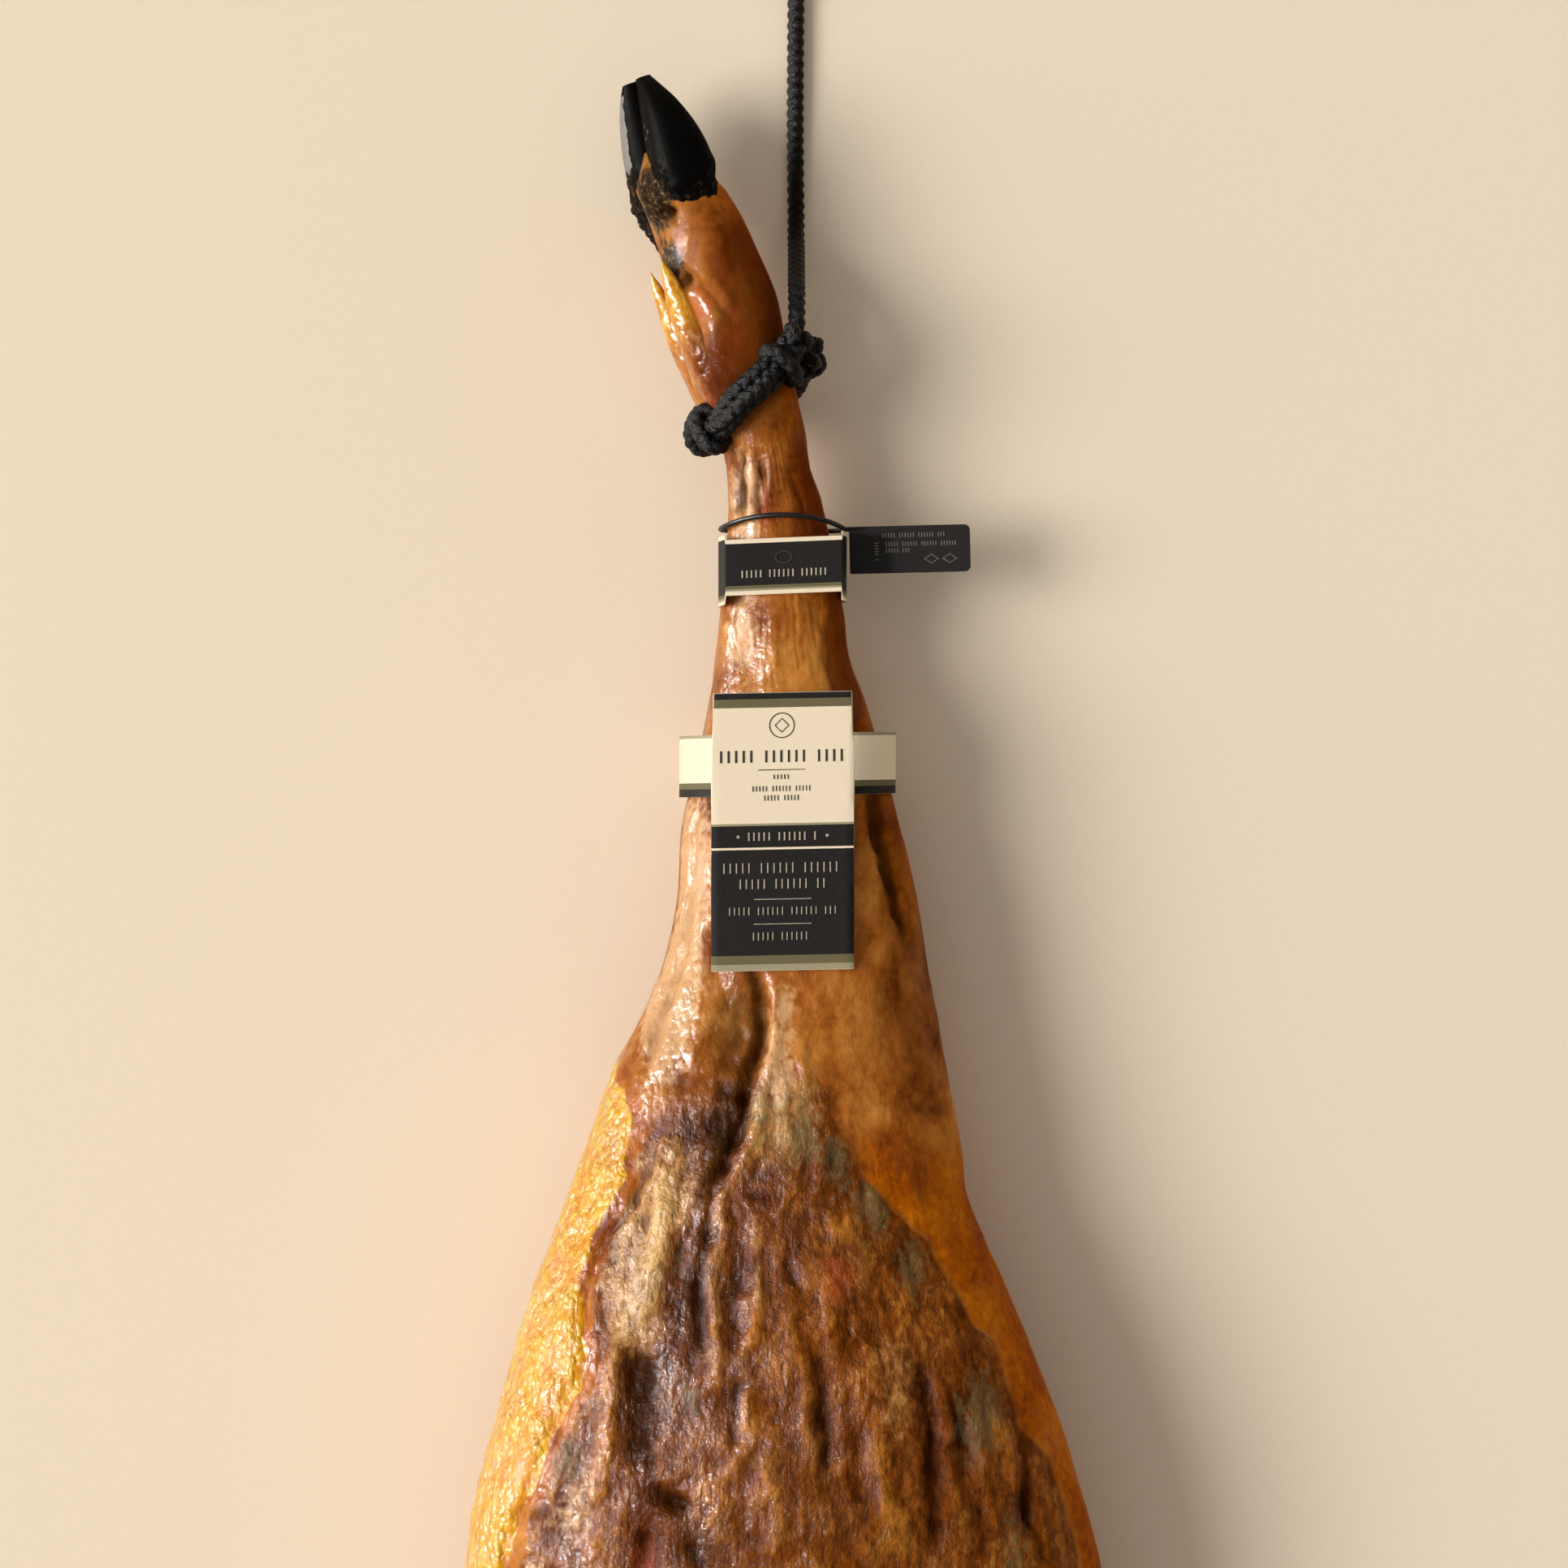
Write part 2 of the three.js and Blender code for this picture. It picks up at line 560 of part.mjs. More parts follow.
// The seal: a round strap that rests on the shank band's upper edge, as wide as the band or wider
// where the leg is, and a flat flag beside the band that a neck joins to the strap.
function sealGeometry() {
  const radius = STRAP_DIAMETER / 2;
  const bandTop = TOES_Y - BAND.armsFromToes[0];
  const band = cardOutline(BAND, bandTop).map((p) => p[0]);
  const bandRight = Math.max(...band) + CARD;
  const sideY = bandTop + BAND.rise * bandRight + STRAP_GAP + radius;
  const away = STRAP_SLACK + radius;
  const legs = [0, 0.5, 1].map((share) => legSection(sideY + share * STRAP_LIFT));
  const left = Math.min(
    Math.min(...band) - CARD,
    ...legs.map((leg) => leg.x - leg.half - away - radius),
  );
  const right = Math.max(bandRight, ...legs.map((leg) => leg.x + leg.half + away + radius));
  const low = Math.min(...legs.map((leg) => leg.z - leg.down)) - away;
  const high = Math.max(...legs.map((leg) => leg.z + leg.up)) + away;
  const [middleX, middleZ] = [(left + right) / 2, (low + high) / 2];
  const rings = Array.from({ length: STRAP_STEPS }, (_, i) => {
    const angle = (i / STRAP_STEPS) * 2 * Math.PI;
    const x = middleX + ((right - left) / 2 - radius) * power(Math.cos(angle), 2 / SECTION_POWER);
    const z = middleZ + ((high - low) / 2) * power(Math.sin(angle), 2 / SECTION_POWER);
    const y = sideY + STRAP_LIFT * Math.max(Math.sin(angle), 0) ** 2;
    const out = new THREE.Vector3(x - middleX, 0, z - middleZ).normalize();
    return Array.from({ length: 8 }, (_, j) => {
      const turn = (j / 8) * 2 * Math.PI;
      return new THREE.Vector3(x, y + radius * Math.cos(turn), z).addScaledVector(
        out,
        radius * Math.sin(turn),
      );
    });
  });
  const plate = flagGeometry(right - radius, sideY + NECK_HEIGHT / 2, right + FLAG_GAP, middleZ);
  return geometryOf(joined(skin(rings, { closed: true }), plate));
}

// The seal's flag: its neck runs from neckX to x along the flag's upper edge, which is at top.
function flagGeometry(neckX, top, x, z) {
  const [w, h, r, neck] = [FLAG_LENGTH, FLAG_HEIGHT, FLAG_CORNER, x - neckX];
  const flag = new THREE.Shape();
  flag.moveTo(0, -h).lineTo(w - r, -h).absarc(w - r, r - h, r, -Math.PI / 2, 0);
  flag.lineTo(w, -r).absarc(w - r, -r, r, 0, Math.PI / 2).lineTo(-neck, 0);
  flag.lineTo(-neck, -NECK_HEIGHT).lineTo(0, -NECK_HEIGHT).closePath();
  return new THREE.ExtrudeGeometry(flag, {
    depth: FLAG_THICKNESS,
    bevelEnabled: false,
    curveSegments: 4,
  })
    .rotateZ(Math.atan(FLAG_RISE))
    .translate(x, top, z - FLAG_THICKNESS / 2);
}

// ---------------------------------------------------------------- the assembly
const FINISHES = {
  cured: { color: 0x9a5a22, roughness: 0.45 },
  cord: { color: 0x0b0a0a, roughness: 0.7 },
  cream_card: { color: 0xefe2cc, roughness: 0.6 },
  dark_card: { color: 0x2a2526, roughness: 0.6 },
  seal: { color: 0x141315, roughness: 0.4 },
};

const ham = new THREE.Group();
function add(name, geometry, finish) {
  const material = new THREE.MeshStandardMaterial({ metalness: 0, ...FINISHES[finish] });
  const mesh = new THREE.Mesh(geometry, material);
  mesh.name = name;
  ham.add(mesh);
}

add("ham", hamGeometry(), "cured");
add("rope_noose", nooseGeometry(), "cord");
add("rope_lead", leadGeometry(), "cord");
add("rope_eye", eyeGeometry(), "cord");
add("shank_band", cardGeometry(BAND), "dark_card");
add("front_label", cardGeometry(LABEL), "cream_card");
add("quality_seal", sealGeometry(), "seal");

export default ham;
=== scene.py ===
"""A whole cured ham, lying on its skin side, dressed on its fixed frame.

Sizes are in millimetres inside the classes and become metres when a mesh is made. +Y runs from the
rump to the toes, +X is the ham's right and +Z is up, away from the surface that it lies on.
"""

import logging
import math
from dataclasses import dataclass, field
from enum import Enum
from typing import ClassVar

import bpy
import numpy as np
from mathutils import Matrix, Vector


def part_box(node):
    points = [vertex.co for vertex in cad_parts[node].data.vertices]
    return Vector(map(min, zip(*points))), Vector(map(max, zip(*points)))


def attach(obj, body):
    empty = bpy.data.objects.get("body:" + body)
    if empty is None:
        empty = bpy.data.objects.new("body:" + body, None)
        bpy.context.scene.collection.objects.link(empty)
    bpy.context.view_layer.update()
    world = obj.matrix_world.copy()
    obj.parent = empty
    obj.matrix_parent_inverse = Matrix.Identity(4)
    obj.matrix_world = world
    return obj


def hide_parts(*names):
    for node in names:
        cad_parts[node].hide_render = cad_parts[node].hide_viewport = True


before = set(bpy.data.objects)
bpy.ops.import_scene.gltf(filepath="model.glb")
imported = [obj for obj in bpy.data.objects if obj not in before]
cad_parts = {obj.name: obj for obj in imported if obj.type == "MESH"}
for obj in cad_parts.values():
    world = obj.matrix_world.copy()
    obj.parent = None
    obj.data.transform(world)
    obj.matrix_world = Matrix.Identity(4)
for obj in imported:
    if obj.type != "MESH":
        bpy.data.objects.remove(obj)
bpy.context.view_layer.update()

LOG = logging.getLogger("ham")
MM = 0.001
ROOT = "root"
HAM_LENGTH = 791.0
Colour = tuple[float, float, float]
Point2 = tuple[float, float]
Shell = tuple[np.ndarray, list]
Socket = bpy.types.NodeSocket


# ------------------------------------------------------------------ numbers
def smooth(low: float, high: float, value: np.ndarray) -> np.ndarray:
    """Gives 0 under low, 1 over high and an S-shaped rise between them."""
    t = np.clip((value - low) / (high - low), 0.0, 1.0)
    return t * t * (3.0 - 2.0 * t)


def signed_power(value: np.ndarray, exponent: float) -> np.ndarray:
    """Raises the size of each value to the exponent and keeps its sign."""
    return np.sign(value) * np.abs(value) ** exponent


def turns(count: int) -> np.ndarray:
    """Gives that many evenly spaced angles round a circle, from 0."""
    return np.linspace(0.0, 2 * math.pi, count, endpoint=False)


def unit(ways: np.ndarray) -> np.ndarray:
    """Gives the directions of vectors, with a length of 1."""
    return ways / np.linalg.norm(ways, axis=-1, keepdims=True)


def distances(path: np.ndarray) -> np.ndarray:
    """Gives how far along a path each of its points is."""
    return np.concatenate(([0.0], np.cumsum(np.linalg.norm(np.diff(path, axis=0), axis=1))))


def rounded(angle: np.ndarray, fullness: float) -> tuple[np.ndarray, np.ndarray]:
    """Gives a rounded square's x and y at each angle: a circle's, each to the power 2 / fullness."""
    return signed_power(np.cos(angle), 2 / fullness), signed_power(np.sin(angle), 2 / fullness)


def hermite(rows: np.ndarray, column: int, at: np.ndarray, flat_start: bool = False) -> np.ndarray:
    """Follows a smooth curve through one column of a table.

    Between two rows the curve is a cubic whose slope at each row is that of the line from the row
    before to the row after.

    Args:
        rows: The table, with its first column rising.
        column: The column to follow.
        at: Where to read it, in the first column's terms.
        flat_start: Whether the curve leaves its first row with no slope.

    Returns:
        The column's value at each place.
    """
    x, v = rows[:, 0], rows[:, column]
    slope = np.gradient(v, x)
    slope[1:-1] = (v[2:] - v[:-2]) / (x[2:] - x[:-2])
    if flat_start:
        slope[0] = 0.0
    i = np.clip(np.searchsorted(x, at, side="right") - 1, 0, len(x) - 2)
    span = x[i + 1] - x[i]
    t = np.clip((at - x[i]) / span, 0.0, 1.0)
    return (
        (2 * t**3 - 3 * t**2 + 1) * v[i]
        + (t**3 - 2 * t**2 + t) * span * slope[i]
        + (3 * t**2 - 2 * t**3) * v[i + 1]
        + (t**3 - t**2) * span * slope[i + 1]
    )


class Noise:
    """Smooth repeatable noise: random slopes on a cubic lattice, blended by a quintic."""

    def __init__(self, seed: int) -> None:
        """Draws the lattice's order and slopes from the seed."""
        source = np.random.default_rng(seed)
        self.order = source.permutation(512)
        self.slopes = unit(source.normal(size=(512, 3)))

    def at(self, points: np.ndarray) -> np.ndarray:
        """Reads the noise.

        Args:
            points: Places, an array whose last axis is x, y and z in lattice cells.

        Returns:
            One value from about -1 to 1 for each place.
        """
        flat = points.reshape(-1, 3)
        cell = np.floor(flat).astype(int)
        inside = flat - cell
        blend = inside**3 * (inside * (inside * 6 - 15) + 10)
        total = np.zeros(len(flat))
        for corner in np.ndindex(2, 2, 2):
            step = np.array(corner)
            key = np.zeros(len(flat), dtype=int)
            for axis in range(3):
                key = self.order[(key + cell[:, axis] + step[axis]) & 511]
            lean = np.einsum("ij,ij->i", self.slopes[key], inside - step)
            total += lean * np.prod(np.where(step, blend, 1 - blend), axis=1)
        return (1.6 * total).reshape(points.shape[:-1])

    def rough(self, points: np.ndarray, layers: int = 3) -> np.ndarray:
        """Adds layers of the noise, each twice as fine and half as tall as the last."""
        return sum(self.at(points * 2.0**i + 17.3 * i) * 0.5**i for i in range(layers))

    def creased(self, points: np.ndarray, layers: int = 2) -> np.ndarray:
        """Gives rounded folds with sharp creases between them: the size of the noise, from 0."""
        return sum(np.abs(self.at(points * 2.0**i + 9.1 * i)) * 0.5**i for i in range(layers))


# ------------------------------------------------------------------ strokes on the surface
@dataclass(frozen=True)
class Stroke:
    """A groove, ridge or mark drawn along a line on the plan of the ham.

    Its profile across is a bell of the given width. A lip stands beside it, on its right where it
    is positive and on its left where it is negative.
    """

    end_height: ClassVar[float] = 0.35
    lip_place: ClassVar[float] = 1.7

    points: tuple[Point2, ...]
    width: float
    height: float
    lip: float
    taper: float

    def reach(self, x: np.ndarray, y: np.ndarray) -> np.ndarray:
        """Works out the stroke's height at each place of the plan.

        The nearest place on the line is found for each segment, its signed distance is turned into
        the bell and the lip, and both fade towards the line's two ends.

        Args:
            x: Places across the ham.
            y: Places along it.

        Returns:
            The height that the stroke adds at each place.
        """
        line = np.array(self.points, dtype=float)
        before = distances(line)
        best = np.full(x.shape, 1e9)
        signed = np.zeros(x.shape)
        along = np.zeros(x.shape)
        for i, length in enumerate(np.linalg.norm(np.diff(line, axis=0), axis=1)):
            dx, dy = (line[i + 1] - line[i]) / length
            rx, ry = x - line[i, 0], y - line[i, 1]
            t = np.clip(rx * dx + ry * dy, 0.0, length)
            gap = np.hypot(rx - t * dx, ry - t * dy)
            nearer = gap < best
            best = np.where(nearer, gap, best)
            signed = np.where(nearer, np.sign(rx * dy - ry * dx) * gap, signed)
            along = np.where(nearer, (before[i] + t) / before[-1], along)
        ends = smooth(0.0, self.taper, along) * smooth(0.0, self.taper, 1.0 - along)
        fade = self.end_height + (1 - self.end_height) * ends
        bell = np.exp(-((best / self.width) ** 2))
        side = signed * (1.0 if self.lip >= 0 else -1.0)
        beside = np.exp(-(((side + self.lip_place * self.width) / self.width) ** 2)) * (side < 0)
        return fade * (self.height * bell + abs(self.lip) * beside)


@dataclass(frozen=True)
class Patch:
    """A soft-edged spot on the plan of the ham, with its middle, half sizes and strength."""

    middle: Point2
    size: Point2
    strength: float = 1.0

    def reach(self, x: np.ndarray, y: np.ndarray) -> np.ndarray:
        """Gives the spot's strength at each place, falling off as a bell."""
        far = ((x - self.middle[0]) / self.size[0]) ** 2 + ((y - self.middle[1]) / self.size[1]) ** 2
        return self.strength * np.exp(-far)


def strokes(*rows: tuple[float, ...], taper: float = 0.18) -> tuple[Stroke, ...]:
    """Makes a stroke of each row: its width, height and lip, and then each point's x and y."""
    return tuple(Stroke(tuple(zip(row[3::2], row[4::2])), *row[:3], taper) for row in rows)


def spots(*rows: tuple[float, ...]) -> tuple[Patch, ...]:
    """Makes a patch of each row: its middle's x and y, its two half sizes and its strength."""
    return tuple(Patch(row[:2], row[2:4], row[4]) for row in rows)


def total(marks: tuple, x: np.ndarray, y: np.ndarray) -> np.ndarray:
    """Adds what every stroke or patch gives at each place of the plan."""
    result = np.zeros(x.shape)
    for mark in marks:
        result += mark.reach(x, y)
    return result


# ------------------------------------------------------------------ meshes
def make_object(name: str, points: np.ndarray, faces: list, smooth_faces: bool = True) -> bpy.types.Object:
    """Makes an object at the origin from points in millimetres, with its faces turned outwards.

    The faces are turned round if six times the volume that they shut in, the sum of each fan
    triangle's triple product, comes out negative.

    Args:
        name: The object's name.
        points: Vertices, one row each.
        faces: Lists or an array of vertex numbers.
        smooth_faces: Whether the faces are shaded smooth.

    Returns:
        The object, linked to the scene.
    """
    volume = 0.0
    for size in {len(f) for f in faces}:
        same = np.array([f for f in faces if len(f) == size])
        for k in range(1, size - 1):
            a, b, c = points[same[:, 0]], points[same[:, k]], points[same[:, k + 1]]
            volume += np.einsum("ij,ij->", a, np.cross(b, c))
    if volume < 0:
        faces = [list(f)[::-1] for f in faces]
    mesh = bpy.data.meshes.new(name)
    mesh.from_pydata((points * MM).tolist(), [], [list(map(int, f)) for f in faces])
    mesh.polygons.foreach_set("use_smooth", [smooth_faces] * len(mesh.polygons))
    mesh.update()
    thing = bpy.data.objects.new(name, mesh)
    bpy.context.scene.collection.objects.link(thing)
    return thing


def grid_faces(along: int, around: int, ring: bool) -> np.ndarray:
    """Numbers the quads of a grid whose second direction closes on itself.

    Args:
        along: Rings in the grid.
        around: Points in each ring.
        ring: Whether the last ring joins the first one.

    Returns:
        One row of four vertex numbers for each quad.
    """
    i = np.arange(along if ring else along - 1)[:, None]
    j = np.arange(around)[None, :]
    k, m = (i + 1) % along, (j + 1) % around
    quads = np.stack([i * around + j, i * around + m, k * around + m, k * around + j], axis=-1)
    return quads.reshape(-1, 4)


def shell(rings: np.ndarray, ring: bool = False) -> Shell:
    """Closes a grid of rings into points and faces, with a fan to a point at each open end.

    Args:
        rings: Points, by ring and then round the ring.
        ring: Whether the last ring joins the first one.

    Returns:
        The points and the faces.
    """
    along, around = rings.shape[:2]
    points = rings.reshape(-1, 3)
    faces = grid_faces(along, around, ring).tolist()
    if not ring:
        points = np.vstack([points, rings[0].mean(axis=0), rings[-1].mean(axis=0)])
        j = np.arange(around)
        k = (j + 1) % around
        first = np.stack([np.full(around, along * around), k, j], axis=1)
        last = (along - 1) * around
        final = np.stack([np.full(around, along * around + 1), last + j, last + k], axis=1)
        faces += np.vstack([first, final]).tolist()
    return points, faces


def prism(low: np.ndarray, high: np.ndarray) -> Shell:
    """Closes the room between an outline and its copy above it."""
    count = len(low)
    j = np.arange(count)
    sides = np.stack([j, (j + 1) % count, (j + 1) % count + count, j + count], axis=1).tolist()
    return np.vstack([low, high]), sides + [j[::-1].tolist(), (j + count).tolist()]


def merged(shells: list[Shell]) -> Shell:
    """Puts several closed shells into one set of points and faces."""
    points, faces, count = [], [], 0
    for some, these in shells:
        points.append(some)
        faces += [[v + count for v in f] for f in these]
        count += len(some)
    return np.vstack(points), faces


def set_values(thing: bpy.types.Object, name: str, values: np.ndarray) -> None:
    """Stores one number for each vertex of an object under a name that its material reads."""
    layer = thing.data.attributes.new(name, "FLOAT", "POINT")
    filled = np.zeros(len(thing.data.vertices), dtype=np.float32)
    filled[: values.size] = values.ravel()
    if values.size < len(filled):
        filled[values.size :] = values.ravel()[-1]
    layer.data.foreach_set("value", filled)


def tube(path: np.ndarray, side: np.ndarray, section: np.ndarray, ring: bool) -> np.ndarray:
    """Carries a section along a path.

    Each ring lies across the path: its first direction is the given side with the part along the
    path taken out, and its second is the path's direction crossed with the first.

    Args:
        path: Points that the tube follows.
        side: A direction for each point that is never along the path.
        section: For each point, the section's two coordinates round the ring.
        ring: Whether the path closes on itself.

    Returns:
        The rings of points.
    """
    ahead = np.roll(path, -1, axis=0) - np.roll(path, 1, axis=0)
    if not ring:
        ahead[0], ahead[-1] = path[1] - path[0], path[-1] - path[-2]
    ahead = unit(ahead)
    first = side - ahead * np.einsum("ij,ij->i", side, ahead)[:, None]
    first = unit(first)
    second = np.cross(ahead, first)
    return (
        path[:, None, :]
        + section[..., :1] * first[:, None, :]
        + section[..., 1:] * second[:, None, :]
    )


def spread(path: np.ndarray, step: float, ring: bool = False) -> np.ndarray:
    """Puts evenly spaced points on a smooth curve through the given ones.

    The curve is the cubic of hermite in each coordinate, read finely, and then at equal lengths.

    Args:
        path: The points that the curve goes through.
        step: The distance between the new points.
        ring: Whether the curve closes on itself.

    Returns:
        The new points.
    """
    line = np.vstack([path, path[:1]]) if ring else path
    if ring:
        line = np.vstack([line[-3:-1], line, line[1:3]])
    chord = distances(line)
    low, high = (chord[2], chord[-3]) if ring else (chord[0], chord[-1])
    fine = np.linspace(low, high, 40 * len(line))
    table = np.column_stack([chord, line])
    curve = np.column_stack([hermite(table, k, fine) for k in (1, 2, 3)])
    run = distances(curve)
    count = max(int(round(run[-1] / step)), 8)
    at = np.linspace(0.0, run[-1], count + 1)
    even = np.column_stack([np.interp(at, run, curve[:, k]) for k in range(3)])
    return even[:-1] if ring else even


# ------------------------------------------------------------------ materials
class Graph:
    """A material's nodes, with one short method for each kind that the finishes use."""

    def __init__(self, name: str) -> None:
        """Makes an empty material that ends in one shader."""
        self.material = bpy.data.materials.new(name)
        self.material.use_nodes = True
        self.tree = self.material.node_tree
        self.tree.nodes.clear()
        self.shader = self.node("ShaderNodeBsdfPrincipled")
        output = self.node("ShaderNodeOutputMaterial")
        self.tree.links.new(self.shader.outputs[0], output.inputs[0])
        self.place = self.node("ShaderNodeTexCoord").outputs["Object"]

    def node(self, kind: str, **inputs: object) -> bpy.types.Node:
        """Adds a node and gives its inputs, by name or as i0, i1 and so on, values or links."""
        made = self.tree.nodes.new(kind)
        for key, value in inputs.items():
            place = int(key[1:]) if key[0] == "i" and key[1:].isdigit() else key.replace("_", " ")
            self.put(made.inputs[place], value)
        return made

    def put(self, socket: Socket, value: object) -> None:
        """Links a socket to an output, or sets its value."""
        if isinstance(value, Socket):
            self.tree.links.new(value, socket)
        elif isinstance(value, tuple) and len(value) == 3 and socket.type == "RGBA":
            socket.default_value = (*value, 1.0)
        else:
            socket.default_value = value

    def stretched(self, x: float, y: float, z: float) -> Socket:
        """Scales the object's own coordinates by a factor along each axis."""
        return self.node("ShaderNodeMapping", Vector=self.place, Scale=(x, y, z)).outputs[0]

    def noise(self, scale: float, detail: float = 4.0, vector: object = None,
              warp: float = 0.0) -> Socket:
        """Adds noise with that many cells in a metre and gives its value from 0 to 1."""
        made = self.node(
            "ShaderNodeTexNoise", Vector=vector or self.place, Scale=scale, Detail=detail, Distortion=warp
        )
        return made.outputs[0]

    def cells(self, scale: float, vector: object = None) -> Socket:
        """Adds round cells and gives the distance from each one's middle."""
        return self.node("ShaderNodeTexVoronoi", Vector=vector or self.place, Scale=scale).outputs[0]

    def value(self, name: str) -> Socket:
        """Reads a number that is stored on the vertices."""
        made = self.node("ShaderNodeAttribute")
        made.attribute_name = name
        return made.outputs["Fac"]

    def math(self, how: str, a: object, b: object = 0.5, c: object = 0.0) -> Socket:
        """Adds a sum of the named kind, kept from 0 to 1 where the kind ends in a full stop."""
        made = self.node("ShaderNodeMath", i0=a, i1=b, i2=c)
        made.operation = how.rstrip(".")
        made.use_clamp = how.endswith(".")
        return made.outputs[0]

    def curve(self, value: object, low: float, high: float, to_low: float = 0.0,
              to_high: float = 1.0) -> Socket:
        """Maps low and high to two new values with an S-shaped rise between them."""
        made = self.node("ShaderNodeMapRange", i0=value, i1=low, i2=high, i3=to_low, i4=to_high)
        made.interpolation_type = "SMOOTHSTEP"
        return made.outputs[0]

    def ramp(self, value: object, stops: list[tuple[float, Colour]], steps: bool = False) -> Socket:
        """Turns a value into a colour.

        Args:
            value: The value that the colours follow.
            stops: Each colour with the value that it stands at.
            steps: Whether a colour holds up to the next stop, with no blend.

        Returns:
            The colour socket.
        """
        made = self.node("ShaderNodeValToRGB", Fac=value)
        band = made.color_ramp
        band.interpolation = "CONSTANT" if steps else "LINEAR"
        while len(band.elements) < len(stops):
            band.elements.new(0.5)
        for element, (at, colour) in zip(band.elements, sorted(stops, key=lambda s: s[0])):
            element.position = at
            element.color = (*colour, 1.0)
        return made.outputs[0]

    def mix(self, share: object, a: object, b: object) -> Socket:
        """Mixes two colours by a share."""
        made = self.node("ShaderNodeMix")
        made.data_type = "RGBA"
        for place, value in ((0, share), (6, a), (7, b)):
            self.put(made.inputs[place], value)
        return made.outputs[2]

    def ragged(self, value: object, breakup: object, amount: float, low: float, high: float) -> Socket:
        """Gives a mask a ragged edge: noise, taken from its middle, is added before the rise."""
        shift = self.math("SUBTRACT", breakup, 0.5)
        return self.curve(self.math("MULTIPLY_ADD", shift, amount, value), low, high)

    def bump(self, height: object, strength: float, depth: float, under: object = None) -> Socket:
        """Turns a height into a bumped normal, on top of another one if it is given."""
        made = self.node("ShaderNodeBump", Height=height, Strength=strength, Distance=depth * MM)
        if under is not None:
            self.put(made.inputs["Normal"], under)
        return made.outputs[0]

    def finish(self, **inputs: object) -> bpy.types.Material:
        """Sets the shader's own inputs and gives the material."""
        for key, value in inputs.items():
            self.put(self.shader.inputs[key.replace("_", " ")], value)
        return self.material


